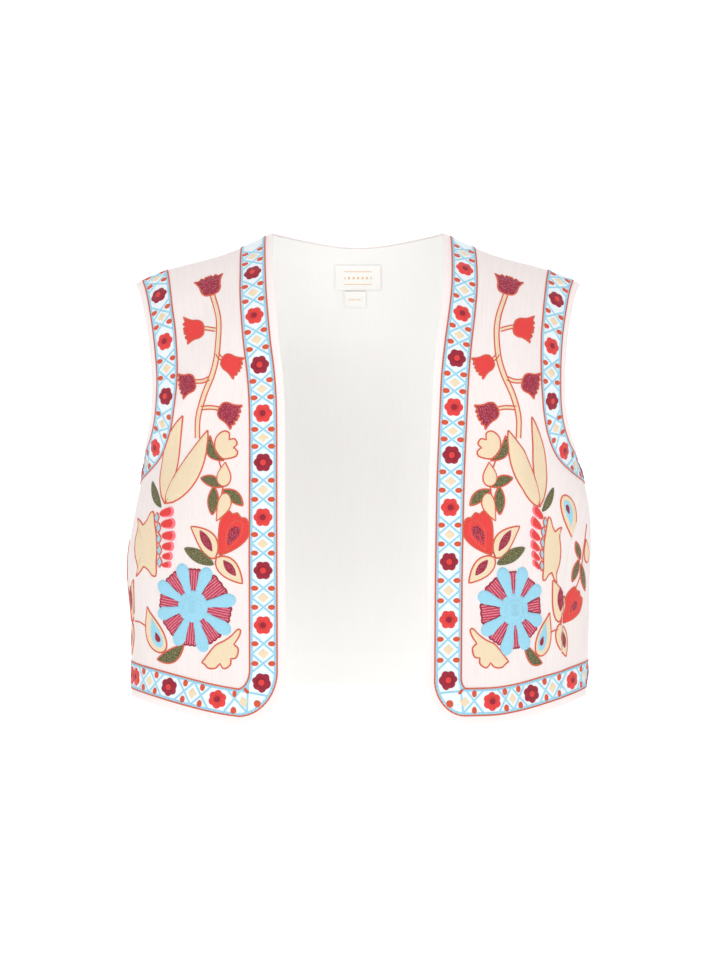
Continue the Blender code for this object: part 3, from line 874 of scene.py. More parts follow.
@dataclass(frozen=True)
class WovenLabel:
    """Satin-woven label tape with a plain gold ornament: a frame line and a row of dashes."""

    name: str
    ground: str = "#faf8f5"
    gold: str = "#dfae66"
    framed: bool = True
    dashes: int = 10
    ribs: int = 60
    frame_lines: tuple[float, float] = (0.24, 0.76)

    def make(self) -> bpy.types.Material:
        """Build the material. It reads the UV map, from 0 to 1 both ways."""
        sketch = Sketch(self.name)
        across = sketch.add("ShaderNodeSeparateXYZ", {}, {"Vector": sketch.uv}, 0)
        up = sketch.add("ShaderNodeSeparateXYZ", {}, {"Vector": sketch.uv}, 1)
        phase = sketch.calc("MULTIPLY_ADD", across, 2 * math.pi * self.dashes, math.pi / 2)
        dash = sketch.calc("GREATER_THAN", sketch.calc("SINE", phase), 0.1)
        middle = sketch.calc("COMPARE", across, 0.5, 0.30)
        row = sketch.calc("COMPARE", up, 0.5, 0.05)
        mask = sketch.calc("MULTIPLY", sketch.calc("MULTIPLY", dash, row), middle)
        if self.framed:
            for level in self.frame_lines:
                line = sketch.calc("MULTIPLY", sketch.calc("COMPARE", up, level, 0.016), middle)
                mask = sketch.calc("MAXIMUM", mask, line)
        colour = sketch.mix(sketch.calc("MULTIPLY", mask, 0.8), self.ground, self.gold)
        reliefs = ((sketch.waves("X", 1 / self.ribs), 0.4, 0.00005),)
        return sketch.finish(colour, reliefs, roughness=0.55, sheen_weight=0.1)


# Where the embroidered border starts and ends, in millimetres from the finished edge
BORDER_OUT = 7.5
BORDER_IN = 32.2


class Thread(Enum):
    """The threads of the embroidery."""

    # Each thread's second colour is painted shade between its rows or links; for the mesh stitch it is the
    # pinkish cloth between its lines
    CREAM = StitchedThread("cream_stranded_cotton", "#f2dfc0", "#e6cda6")
    CORAL = StitchedThread("coral_stranded_cotton", "#ee4641", "#d22e32")
    CRIMSON = StitchedThread("crimson_stranded_cotton", "#a81f38", "#7c1528")
    BLUE = StitchedThread("light_blue_stranded_cotton", "#a6dcf1", "#83c6e0")
    ORANGE = StitchedThread("orange_stranded_cotton", "#e05a3a", "#c54329")
    PINK = StitchedThread("pink_stranded_cotton", "#fb8591", "#f26472")
    OLIVE = StitchedThread("olive_open_stitch", "#5f5d38", "#3f3f24", "#949065", 0.44)
    SPECKLED = StitchedThread("crimson_open_stitch", "#a3233d", "#7c162b", "#cc6d80", 0.40)
    MESH = StitchedThread("crimson_mesh_stitch", "#b52245", "#e08c9c", row_gap=0.0023)
    BRICK_LINE = ChainStitch("brick_chain_stitch", "#e26a4e", "#c04c36")
    BLUE_LINE = ChainStitch("light_blue_chain_stitch", "#a8dcf0", "#85c8e2")
    CRIMSON_LINE = ChainStitch("crimson_chain_stitch", "#a8233d", "#741428")
    OLIVE_LINE = ChainStitch("olive_chain_stitch", "#77744c", "#565432")


@cache
def dyed(finish: WovenCotton | StitchedThread | ChainStitch | WovenLabel) -> bpy.types.Material:
    """The material of a finish, made when it is first asked for."""
    return finish.make()


@dataclass
class Template:
    """A stitched shape, 1 long (y) and 1 wide (x) and 1 high, with the outline that it fills."""

    points: Array
    faces: list[tuple[int, ...]]
    outline: Array
    radial: bool = False


def mirrored(half: Array) -> Array:
    """Close an outline from its right half, which runs from the bottom to the top."""
    left = half[::-1] * np.array([-1.0, 1.0])
    joined = np.concatenate([half, left])
    keep = np.linalg.norm(joined - np.roll(joined, 1, axis=0), axis=1) > 1e-4
    return joined[keep]


def polar_outline(radius: Callable[[Array], Array], count: int) -> Array:
    """Outline from a radius for each turn."""
    turn = np.linspace(0, 2 * np.pi, count, endpoint=False)
    return np.stack([radius(turn) * np.sin(turn), radius(turn) * np.cos(turn)], axis=1)


# Pull of a curve at a sharp corner, as a share of the span beside it
CORNER_PULL = 0.8


def curve_through(points: Sequence[tuple[float, float]], steps: int, closed: bool = False) -> Array:
    """Smooth line through points; a point that is given twice in a row is a sharp corner."""
    data = np.array(points, float)
    count = len(data)
    spans = count if closed else count - 1
    line = []
    for index in range(spans):
        start = data[index]
        end = data[(index + 1) % count]
        if np.allclose(start, end):
            continue
        before = data[(index - 1) % count] if closed or index > 0 else start
        after = data[(index + 2) % count] if closed or index < count - 2 else end
        corner_pull = (end - start) * CORNER_PULL
        start_pull = corner_pull if np.allclose(before, start) else (end - before) / 2
        end_pull = corner_pull if np.allclose(after, end) else (after - start) / 2
        part = (np.arange(steps) / steps)[:, None]
        blend = (2 * part**3 - 3 * part**2 + 1) * start + (3 * part**2 - 2 * part**3) * end
        blend = blend + (part**3 - 2 * part**2 + part) * start_pull + (part**3 - part**2) * end_pull
        line.append(blend)
    if not closed:
        line.append(data[-1:])
    return np.concatenate(line)


def leaf_outline(fullness: float, widest: float) -> Array:
    """Leaf with a point at each end; it is widest at a share of its length."""
    part = np.linspace(0, 1, 15)
    bent = part ** (math.log(0.5) / math.log(widest))
    return mirrored(np.stack([0.5 * np.sin(np.pi * bent) ** fullness, part], axis=1))


def drop_outline(middle: float) -> Array:
    """Drop: round at the bottom, running to a point at the top."""
    turn = np.linspace(0, np.pi / 2, 7)
    low = np.stack([0.5 * np.sin(turn), middle * (1 - np.cos(turn))], axis=1)
    part = np.linspace(0, 1, 10)[1:]
    high = np.stack([0.5 * np.cos(np.pi / 2 * part) ** 1.15, middle + (1 - middle) * part], axis=1)
    return mirrored(np.concatenate([low, high]))


def capsule_outline(foot: float) -> Array:
    """Round-ended bar that widens from its foot."""
    turn = np.linspace(0, np.pi / 2, 6)
    low = np.stack([foot / 2 * np.sin(turn), foot / 2 * (1 - np.cos(turn))], axis=1)
    high = np.stack([0.5 * np.cos(turn), 0.72 + 0.28 * np.sin(turn)], axis=1)
    return mirrored(np.concatenate([low, high]))


def tulip_outline() -> Array:
    """Tulip seen from the side, with two long outer tips and three short ones between."""
    flank = [(0.08, 0.0), (0.23, 0.05), (0.33, 0.24), (0.35, 0.48), (0.41, 0.70), (0.5, 0.90)]
    side = curve_through(flank, 3)
    crown = np.array([(0.34, 0.84), (0.24, 0.97), (0.16, 0.85), (0.08, 1.0), (0.03, 0.90), (0.0, 1.0)])
    return mirrored(np.concatenate([np.array([(0.0, -0.02)]), side, crown]))


def wedge_outline() -> Array:
    """Wedge between two petals of the wheel flower, with a waved outer edge."""
    top = [(0.5, 0.95), (0.36, 1.0), (0.18, 0.955), (0.0, 1.0)]
    return mirrored(np.array([(0.0, 0.0), (0.18, 0.0), (0.26, 0.25), (0.34, 0.475), (0.42, 0.72)] + top))


def cup_outline() -> Array:
    """Calyx of the cup flower: a bulging foot, and a pointed and a round lobe at each end."""
    foot = curve_through([(0.0, 0.0), (0.13, 0.03), (0.25, 0.12), (0.34, 0.15), (0.45, 0.06)], 3)
    flank = curve_through([(0.45, 0.06), (0.40, 0.24), (0.32, 0.42)], 3)
    lobe = curve_through([(0.32, 0.42), (0.39, 0.60), (0.48, 0.72), (0.50, 0.84), (0.43, 0.88)], 3)
    mouth = curve_through([(0.43, 0.88), (0.28, 0.90), (0.12, 0.94), (0.0, 0.95)], 3)
    return mirrored(np.concatenate([foot, flank, lobe, mouth]))


HALF_FLOWER = (
    (0.0, 0.0), (0.0, 0.0), (-0.07, 0.24), (-0.11, 0.44), (-0.02, 0.62), (0.02, 0.82), (0.0, 0.97),
    (0.10, 1.00), (0.22, 0.88), (0.28, 0.72), (0.28, 0.72), (0.50, 0.73), (0.67, 0.59), (0.57, 0.49),
    (0.57, 0.49), (0.72, 0.41), (0.67, 0.26), (0.44, 0.27), (0.44, 0.27), (0.46, 0.14), (0.30, 0.03),
    (0.13, 0.02),
)
HALF_FLOWER_CENTRE = (0.26, 0.42)
BUD_FLOWER = (
    (-0.10, 0.0), (-0.30, 0.20), (-0.42, 0.55), (-0.30, 0.90), (-0.08, 0.96), (0.02, 0.72),
    (0.02, 0.72), (0.18, 0.86), (0.34, 0.74), (0.28, 0.54), (0.28, 0.54), (0.46, 0.50),
    (0.50, 0.32), (0.30, 0.10), (0.10, -0.02),
)


class Shape(Enum):
    """The stitched shapes that the embroidery is made up from."""

    LOTUS = "lotus leaf"
    LEAF = "leaf"
    DROP = "drop"
    PETAL = "petal"
    FINGER = "finger"
    TULIP = "tulip"
    ROSETTE = "rosette"
    DISC = "disc"
    RHOMBUS = "rhombus"
    WEDGE = "wedge"
    CUP = "cup"
    HALF_FLOWER = "half flower"
    BUD = "bud"
    POMEGRANATE = "pomegranate"


def shape_outline(shape: Shape) -> Array:
    """Outline of a shape, 1 long (y, from its foot at 0) and 1 wide (x)."""
    disc = polar_outline(lambda turn: 0.5 + 0 * turn, 16) + np.array([0.0, 0.5])
    rhombus = np.array([(0.0, 0.0), (0.25, 0.24), (0.5, 0.5), (0.25, 0.76), (0.0, 1.0)])
    lobes = polar_outline(lambda turn: 0.39 + 0.11 * np.abs(np.cos(3 * turn)) ** 0.7, 42)
    fruit = [(0.0, 0.0), (0.0, 0.0), (0.17, 0.14), (0.38, 0.38), (0.50, 0.64), (0.45, 0.84)]
    crown = [(0.45, 0.84), (0.32, 0.96), (0.15, 0.93), (0.15, 0.93), (0.0, 1.0)]
    outlines = {
        Shape.LOTUS: lambda: leaf_outline(0.85, 0.40),
        Shape.LEAF: lambda: leaf_outline(0.80, 0.50),
        Shape.DROP: lambda: drop_outline(0.34),
        Shape.PETAL: lambda: capsule_outline(0.6),
        Shape.FINGER: lambda: capsule_outline(0.85),
        Shape.TULIP: tulip_outline,
        Shape.ROSETTE: lambda: lobes + np.array([0.0, 0.5]),
        Shape.DISC: lambda: disc,
        Shape.RHOMBUS: lambda: mirrored(rhombus),
        Shape.WEDGE: wedge_outline,
        Shape.CUP: cup_outline,
        Shape.HALF_FLOWER: lambda: curve_through(HALF_FLOWER, 3, closed=True),
        Shape.BUD: lambda: curve_through(BUD_FLOWER, 3, closed=True),
        Shape.POMEGRANATE: lambda: mirrored(curve_through(fruit + crown, 4)),
    }
    return outlines[shape]()


RADIAL_SHAPES = (Shape.ROSETTE, Shape.DISC)
# Rings of a stitched shape: its share of the outline's size, and its share of the height
RINGS = ((0.94, 0.62), (0.84, 0.92), (0.60, 1.0), (0.32, 1.0))


@cache
def template_of(shape: Shape) -> Template:
    """Model a stitched shape as by hand: a circle set to its outline, then extruded rings.

    It is modelled when it is first asked for, and kept.

    Args:
        shape: which shape.

    Returns:
        Its points, faces and outline.
    """
    outline = shape_outline(shape)
    centre = (outline.min(axis=0) + outline.max(axis=0)) / 2
    if shape is Shape.HALF_FLOWER:
        centre = np.array(HALF_FLOWER_CENTRE)
    bpy.ops.object.select_all(action="DESELECT")
    bpy.ops.mesh.primitive_circle_add(vertices=len(outline), radius=1.0, fill_type="NOTHING")
    piece = bpy.context.object
    for vertex, point in zip(piece.data.vertices, outline):
        vertex.co = (point[0], point[1], 0.0)
    bpy.ops.object.mode_set(mode="EDIT")
    bpy.ops.mesh.select_all(action="SELECT")
    size = 1.0
    level = 0.0
    for share, lift in RINGS:
        rise = {"value": (0.0, 0.0, lift - level)}
        bpy.ops.mesh.extrude_edges_move(TRANSFORM_OT_translate=rise)
        ratio = share / size
        bpy.ops.transform.resize(value=(ratio, ratio, 1.0), center_override=(*centre, 0.0))
        size = share
        level = lift
    bpy.ops.mesh.merge(type="COLLAPSE")
    bpy.ops.object.mode_set(mode="OBJECT")
    points = np.array([vertex.co for vertex in piece.data.vertices])
    faces = [tuple(face.vertices) for face in piece.data.polygons]
    mesh = piece.data
    bpy.data.objects.remove(piece)
    bpy.data.meshes.remove(mesh)
    return Template(points, faces, outline, shape in RADIAL_SHAPES)


def even_points(points: Array, step: float, closed: bool) -> Array:
    """The same line with its points evenly apart."""
    line = np.concatenate([points, points[:1]]) if closed else points
    run = run_along(line)
    count = max(int(round(run[-1] / step)), 3)
    wanted = np.linspace(0, run[-1], count + 1)
    even = np.stack([np.interp(wanted, run, line[:, axis]) for axis in range(2)], axis=1)
    return even[:-1] if closed else even


@dataclass
class Laid:
    """How a shape lies on a chart: its foot, its tip, its width and a sideways bend, in millimetres."""

    foot: tuple[float, float]
    tip: tuple[float, float]
    width: float
    bend: float = 0.0

    def flat(self, local: Array) -> tuple[Array, Array]:
        """Chart places of the shape's own points."""
        foot = np.array(self.foot)
        way = np.array(self.tip) - foot
        length = float(np.hypot(*way))
        way = way / length
        aside = np.array([-way[1], way[0]])
        along = local[:, 1]
        over = local[:, 0] * self.width + self.bend * 4 * along * (1 - along)
        place = foot + along[:, None] * length * way + over[:, None] * aside
        return place[:, 0], place[:, 1]

    @property
    def length(self) -> float:
        """Distance from the foot to the tip."""
        return math.dist(self.foot, self.tip)


def looks_out(corners: Array, normal: Array) -> bool:
    """Whether a face looks out of the cloth."""
    return float(np.cross(corners[1] - corners[0], corners[2] - corners[0]) @ normal) > 0


@dataclass
class Stitching:
    """One embroidered piece: stitched shapes and cords that lie on one side of the cloth."""

    name: str
    side: int
    points: list[Array] = field(default_factory=list)
    faces: list[tuple[int, ...]] = field(default_factory=list)
    coords: list[Array] = field(default_factory=list)
    finishes: list[StitchedThread | ChainStitch] = field(default_factory=list)
    finish_of: list[int] = field(default_factory=list)
    count: int = 0
    # Along a cord, in millimetres, and across it, in points
    chain_step: float = 1.2
    cord_points: int = 5
    bead_depth: float = 0.16
    sink: float = 0.08
    # Share of its width by which the threads of a round shape fan out
    fan: float = 0.42

    def _slot(self, thread: Thread) -> int:
        """Number of a thread among this piece's materials."""
        if thread.value not in self.finishes:
            self.finishes.append(thread.value)
        return self.finishes.index(thread.value)

    def _add(self, points: Array, faces: list[tuple[int, ...]], coords: Array, thread: Thread) -> None:
        """Add points and faces that lie on them, with UVs by point."""
        slot = self._slot(thread)
        for face in faces:
            self.faces.append(tuple(corner + self.count for corner in face))
            self.finish_of.append(slot)
        self.points.append(points)
        self.coords.append(coords)
        self.count += len(points)

    def fill(
        self, shape: Shape, laid: Laid, mapper: Mapper, thread: Thread, height: float, base: float = 0.0
    ) -> None:
        """Lay a copy of a stitched shape on the cloth.

        Args:
            shape: which shape.
            laid: where it lies on the chart.
            mapper: turns chart places to angles and heights.
            thread: its thread.
            height: how high it stands, in millimetres.
            base: height of what it lies on, in millimetres.
        """
        template = template_of(shape)
        across, down = laid.flat(template.points[:, :2])
        angle, level, inside = mapper(across, down)
        lift = (template.points[:, 2] * height + base) * MM
        points, normal = FIGURE.place(self.side, angle, level, lift)
        if template.radial:
            local = template.points[:, :2] - np.array([0.0, 0.5])
            turn = np.arctan2(local[:, 0], local[:, 1])
            far = np.hypot(local[:, 0], local[:, 1])
            coords = np.stack([np.abs(turn) * laid.width * self.fan * MM, far * laid.width * MM], axis=1)
        else:
            local = template.points[:, :2]
            coords = local * np.array([laid.width, laid.length]) * MM
        faces = template.faces
        if not looks_out(points[list(faces[0])], normal[faces[0][0]]):
            faces = [face[::-1] for face in faces]
        if not inside.all():
            faces = [face for face in faces if inside[list(face)].any()]
        if faces:
            self._add(points, faces, coords, thread)

    def cord(
        self,
        flat: Array,
        mapper: Mapper,
        thread: Thread,
        half_width: float = 0.75,
        height: float = 0.7,
        closed: bool = False,
        base: float = 0.0,
    ) -> None:
        """Lay a line of stitches on the cloth.

        Args:
            flat: chart places along it, in millimetres.
            mapper: turns chart places to angles and heights.
            thread: its thread.
            half_width: half its width, in millimetres.
            height: how high it stands.
            closed: whether its end joins its start.
            base: height of what it lies on.
        """
        even = even_points(flat, self.chain_step, closed)
        angle, level, inside = mapper(even[:, 0], even[:, 1])
        points, normal = FIGURE.place(self.side, angle, level, base * MM)
        ahead = np.roll(points, -1, axis=0) - np.roll(points, 1, axis=0)
        if not closed:
            ahead[0] = points[1] - points[0]
            ahead[-1] = points[-1] - points[-2]
        aside = unit(np.cross(unit(ahead), normal))
        turns = np.linspace(0, np.pi, self.cord_points)
        bead = 1 - self.bead_depth * (np.arange(len(even)) % 2)[:, None, None]
        over = np.cos(turns)[None, :, None] * aside[:, None, :] * half_width * MM
        out = np.sin(turns)[None, :, None] * normal[:, None, :] * height * MM
        sunk = normal[:, None, :] * self.sink * MM
        grid = (points[:, None, :] + (over + out) * bead - sunk).reshape(-1, 3)
        rows = len(even)
        run = run_along(points)[:, None]
        wide = np.cos(turns)[None, :] * half_width * MM
        coords = np.stack(np.broadcast_arrays(wide, run), axis=2).reshape(-1, 2)
        faces = []
        for row in range(rows if closed else rows - 1):
            after = (row + 1) % rows
            if inside[row] and inside[after]:
                here = row * self.cord_points
                ahead_by = (after - row) * self.cord_points
                for corner in range(here, here + self.cord_points - 1):
                    faces.append((corner, corner + ahead_by, corner + ahead_by + 1, corner + 1))
        if not faces:
            return
        if not looks_out(grid[list(faces[1])], normal[faces[1][0] // self.cord_points]):
            faces = [face[::-1] for face in faces]
        self._add(grid, faces, coords, thread)

    def outlined(
        self, shape: Shape, laid: Laid, mapper: Mapper, thread: Thread, line: Thread, height: float = 0.6
    ) -> None:
        """Lay a stitched shape with a line of chain stitch round it."""
        self.fill(shape, laid, mapper, thread, height)
        flat = np.stack(laid.flat(template_of(shape).outline), axis=1)
        self.cord(flat, mapper, line, 0.92, 0.85, closed=True)

    def stalk(self, flat: Array, width: float, mapper: Mapper, line: Thread) -> None:
        """Lay a cream stalk between two lines of chain stitch."""
        tangent = unit(np.gradient(flat, axis=0))
        aside = np.stack([-tangent[:, 1], tangent[:, 0]], axis=1) * (width / 2)
        self.cord(flat, mapper, Thread.CREAM, width / 2, 0.35)
        self.cord(flat + aside, mapper, line, 0.75, 0.7)
        self.cord(flat - aside, mapper, line, 0.75, 0.7)

    def finish(self) -> bpy.types.Object:
        """Make the piece one object that rides on the garment."""
        mesh = bpy.data.meshes.new(self.name)
        mesh.from_pydata(np.concatenate(self.points).tolist(), [], self.faces)
        coords = np.concatenate(self.coords)
        layer = mesh.uv_layers.new(name="UVMap")
        corners = np.zeros(len(mesh.loops), dtype=np.int32)
        mesh.loops.foreach_get("vertex_index", corners)
        layer.data.foreach_set("uv", coords[corners].astype(np.float32).ravel())
        for finish in self.finishes:
            mesh.materials.append(dyed(finish))
        mesh.polygons.foreach_set("material_index", np.array(self.finish_of, dtype=np.int32))
        mesh.shade_smooth()
        mesh.update()
        piece = bpy.data.objects.new(self.name, mesh)
        bpy.context.scene.collection.objects.link(piece)
        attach(piece, "root")
        LOG.info("%s: %d faces", self.name, len(mesh.polygons))
        return piece


WALL = 0.0015
LINING_WALL = 0.0010
LABEL_WALL = 0.0010
SEAM_GAP = 0.0003
SEAM_FADE = 0.0040
LAYER_GAP = 0.0005
UNDERARM_SHARE = 0.515
ROW_CROWDING = 1.35
CORNER_SHARE = 0.22
NECK_SHARE = 5 / 14

Edges = tuple[Array, Array]


def coons(top: Edges, bottom: Edges, inner: Edges, outer: Edges, across: Array, down: Array) -> Edges:
    """Fill four edges with a smooth grid of places.

    Args:
        top: angles and heights along the top, a value for each column.
        bottom: the same along the bottom.
        inner: the same down the inner edge, a value for each row.
        outer: the same down the outer edge.
        across: share of the way across, by column.
        down: share of the way down, by row.

    Returns:
        Angles and heights, by row and column.
    """
    over = across[None, :]
    low = down[:, None]
    grids = []
    for axis in range(2):
        ends = (1 - low) * top[axis][None, :] + low * bottom[axis][None, :]
        sides = (1 - over) * inner[axis][:, None] + over * outer[axis][:, None]
        flat_top = (1 - over) * top[axis][0] + over * top[axis][-1]
        flat_bottom = (1 - over) * bottom[axis][0] + over * bottom[axis][-1]
        grids.append(ends + sides - (1 - low) * flat_top - low * flat_bottom)
    return grids[0], grids[1]


def crowded(count: int, edge: float = 0.06, edge_count: int = 6) -> Array:
    """Shares from 0 to 1 that lie closer together near both ends."""
    first = np.linspace(0, edge, edge_count + 1)
    middle = np.linspace(edge, 1 - edge, count - 2 * edge_count + 1)[1:]
    return np.concatenate([first, middle, 1 - first[-2::-1]])


def thicken(piece: bpy.types.Object, thickness: float, rim_radius: float, inner_slot: int = 0) -> None:
    """Give a sheet its thickness, towards the body, and rounded rims.

    Args:
        piece: the sheet, which has to be the active object.
        thickness: in metres.
        rim_radius: radius of the rounding, in metres.
        inner_slot: number of the inner face's material.
    """
    thick = piece.modifiers.new("thickness", "SOLIDIFY")
    thick.thickness = thickness
    thick.offset = -1.0
    thick.material_offset = inner_slot
    bpy.ops.object.modifier_apply(modifier="thickness")
    rim = piece.modifiers.new("rim", "BEVEL")
    rim.width = rim_radius
    rim.segments = 2
    rim.limit_method = "ANGLE"
    rim.angle_limit = math.radians(60)
    bpy.ops.object.modifier_apply(modifier="rim")
    bpy.ops.object.shade_smooth()


@dataclass
class ClothLayer:
    """A layer of cloth on its own solid's form, with a real thickness and rounded edges."""

    name: str
    node: str
    slot: str
    ground: WovenCotton
    inside: WovenCotton
    cut: tuple[float, float]
    area: float
    start: float = 0.0
    thickness: float = WALL
    relief: bool = True
    armhole_rows: int = 66
    seam_rows: int = 66
    rim_radius: float = 0.00035
    roll_width: float = 0.0052
    roll_height: float = 0.0005
    band_height: float = 0.0003

    def down(self) -> Array:
        """Share of the way down for each row."""
        above = UNDERARM_SHARE * np.linspace(0, 1, self.armhole_rows + 1) ** ROW_CROWDING
        below = UNDERARM_SHARE + (1 - UNDERARM_SHARE) * crowded(self.seam_rows, 0.05, 5)[1:]
        return np.concatenate([above, below])

    def outer_edge(self, side: int, front: bool) -> Edges:
        """Armhole edge down to the underarm, then the side seam down to the hem, by row."""
        hole = spaced(FIGURE.armhole(front, 481), np.linspace(0, 1, self.armhole_rows + 1))
        bottom = float(FIGURE.hem(side, np.asarray(seam_foot(side))))
        share = (self.down()[self.armhole_rows + 1 :] - UNDERARM_SHARE) / (1 - UNDERARM_SHARE)
        height = UNDERARM + (bottom - UNDERARM) * share
        angle = sided(side, SIDE_SEAM, "angle", height)
        return np.concatenate([hole[0], angle]), np.concatenate([hole[1], height])

    def drawn_back(self, side: int, angle: Array, height: Array, points: Array, front: bool) -> Array:
        """Leave half of the seams' gap free at the shoulder and side seams."""
        away = -SEAM_GAP / 2 if front else SEAM_GAP / 2
        drop = FIGURE.ridge(np.abs(points[..., 0])) - height
        shifted = points.copy()
        shifted[..., 1] += away * np.clip(1 - np.maximum(drop, 0.0) / SEAM_FADE, 0.0, 1.0)
        on_seam = np.abs(angle - sided(side, SIDE_SEAM, "angle", height)) < 1e-6
        shifted[..., 1] += away * (on_seam & (height < UNDERARM + 1e-6))
        return shifted

    def finished_edges(self, side: int) -> KDTree:
        """Points along every finished edge of one side, to measure distances from."""
        lines = (front_line(side), back_hem_line(side), back_neck_line(side), armhole_line())
        points = np.concatenate([FIGURE.bare(side, angle, height) for angle, height in lines])
        tree = KDTree(len(points))
        for index, point in enumerate(points):
            tree.insert(point, index)
        tree.balance()
        return tree

    def laid_out(self, side: int, angle: Array, height: Array, front: bool) -> tuple[Array, Array]:
        """Points of the layer's outer face, and their distances from the finished edges."""
        bare = FIGURE.bare(side, angle, height)
        tree = self.finished_edges(side)
        far = np.array([tree.find(point)[2] for point in bare.reshape(-1, 3)]).reshape(angle.shape)
        lift = np.full(angle.shape, -self.start)
        if self.relief:
            roll = np.sin(np.pi * np.clip(far / self.roll_width, 0.0, 1.0)) ** 0.8
            middle = np.abs(far - (BORDER_OUT + BORDER_IN) / 2 * MM)
            half = (BORDER_IN - BORDER_OUT) / 2 * MM
            lift += self.roll_height * roll + self.band_height * soft_step((half + 0.001 - middle) / 0.002)
        points, _ = FIGURE.place(side, angle, height, lift)
        return self.drawn_back(side, angle, height, points, front), far

    def sewn(self, points: Array, far: Array) -> bpy.types.Object:
        """Make the layer from its outer face.

        Args:
            points: points by row, from the top, and column.
            far: distance of each from the nearest finished edge.

        Returns:
            The finished piece.
        """
        rows, columns = far.shape
        bpy.ops.object.select_all(action="DESELECT")
        bpy.ops.mesh.primitive_grid_add(x_subdivisions=columns - 1, y_subdivisions=rows - 1, size=2)
        piece = bpy.context.object
        piece.name = self.name
        mesh = piece.data
        flat = np.zeros(len(mesh.vertices) * 3)
        mesh.vertices.foreach_get("co", flat)
        flat = flat.reshape(-1, 3)
        column = np.rint((flat[:, 0] + 1) / 2 * (columns - 1)).astype(int)
        row = np.rint((1 - flat[:, 1]) / 2 * (rows - 1)).astype(int)
        mesh.vertices.foreach_set("co", points[row, column].ravel())
        distance = mesh.attributes.new("edge", "FLOAT", "POINT")
        distance.data.foreach_set("value", far[row, column])
        run = run_along(points)
        corners = np.zeros(len(mesh.loops), dtype=np.int32)
        mesh.loops.foreach_get("vertex_index", corners)
        width = run[row, column] - run.max(axis=1)[row] * 0.5
        coords = np.stack([width, points[row, column, 2]], axis=1)[corners]
        mesh.uv_layers.active.name = "UVMap"
        mesh.uv_layers.active.data.foreach_set("uv", coords.astype(np.float32).ravel())
        mesh.update()
        bpy.ops.object.mode_set(mode="EDIT")
        bpy.ops.mesh.select_all(action="SELECT")
        here = mesh.polygons[0]
        if here.normal.x * here.center.x + here.normal.y * here.center.y < 0:
            bpy.ops.mesh.flip_normals()
        bpy.ops.object.mode_set(mode="OBJECT")
        mesh.materials.append(dyed(self.ground))
        mesh.materials.append(dyed(self.inside))
        thicken(piece, self.thickness, self.rim_radius, 1)
        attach(piece, "root")
        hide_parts(self.node)
        LOG.info("%s: %d faces", self.name, len(piece.data.polygons))
        return piece


@dataclass
class FrontCloth(ClothLayer):
    """One front, from the shoulder seam to the hem."""

    side: int = RIGHT
    columns: int = 66

    def build(self) -> bpy.types.Object:
        """Make the front."""
        across = crowded(self.columns)
        down = self.down()
        cut = FRONT_CUTS[self.side]
        top = FIGURE.shoulder(self.side, across, True)
        corner = FIGURE.corner(self.side, 0.5 + 0.5 * np.minimum(across / CORNER_SHARE, 1.0))
        start = float(FIGURE.corner(self.side, np.asarray(1.0))[0])
        level = start + (seam_foot(self.side) - start) * (across - CORNER_SHARE) / (1 - CORNER_SHARE)
        past = across >= CORNER_SHARE
        bottom = (np.where(past, level, corner[0]), np.where(past, FIGURE.hem(self.side, level), corner[1]))
        height = float(FIGURE.corner(self.side, np.asarray(0.5))[1]) * down
        rise = (height - FRONT_HEM) / cut.corner_height
        turn = 2 * np.arcsin(np.clip(1 - rise, 0.0, 1.0)) / np.pi
        bottom_gap = sided(self.side, FRONT_EDGE, "gap", np.asarray(FRONT_HEM))
        rounded = bottom_gap + cut.corner_width * (1 - np.cos(turn * np.pi / 2))
        gap = np.where(rise >= 1, sided(self.side, FRONT_EDGE, "gap", height), rounded)
        inner = (FIGURE.angle_at(self.side, gap, height), height)
        outer = self.outer_edge(self.side, True)
        angle, level = coons(top, bottom, inner, outer, across, down)
        points, far = self.laid_out(self.side, angle, level, True)
        return self.sewn(points, far)


@dataclass
class BackCloth(ClothLayer):
    """A whole layer of the back, from one side seam round to the other."""

    neck_columns: int = 22
    shoulder_columns: int = 38

    def half(self, side: int) -> tuple[Array, Array]:
        """One half of the back, from its centre to a side: points, and distances from the edges."""
        neck = NECK_SHARE * np.linspace(0, 1, self.neck_columns + 1)
        rest = NECK_SHARE + (1 - NECK_SHARE) * np.linspace(0, 1, self.shoulder_columns + 1)[1:]
        across = np.concatenate([neck, rest])
        down = self.down()
        line = FIGURE.back_neck(side, neck / NECK_SHARE)
        tip = FIGURE.shoulder(side, (rest - NECK_SHARE) / (1 - NECK_SHARE), False)
        top = (np.concatenate([line[0], tip[0]]), np.concatenate([line[1], tip[1]]))
        round_hem = 180 + (seam_foot(side) - 180) * across
        bottom = (round_hem, FIGURE.hem(side, round_hem))
        centre = top[1][0] + (BACK_HEM - top[1][0]) * down
        inner = (np.full(len(down), 180.0), centre)
        angle, level = coons(top, bottom, inner, self.outer_edge(side, False), across, down)
        return self.laid_out(side, angle, level, False)

    def build(self) -> bpy.types.Object:
        """Make the back layer."""
        right, right_far = self.half(RIGHT)
        left, left_far = self.half(LEFT)
        middle = (right[:, :1] + left[:, :1]) / 2
        points = np.concatenate([right[:, :0:-1], middle, left[:, 1:]], axis=1)
        far = np.concatenate([right_far[:, :0:-1], right_far[:, :1], left_far[:, 1:]], axis=1)
        return self.sewn(points, far)


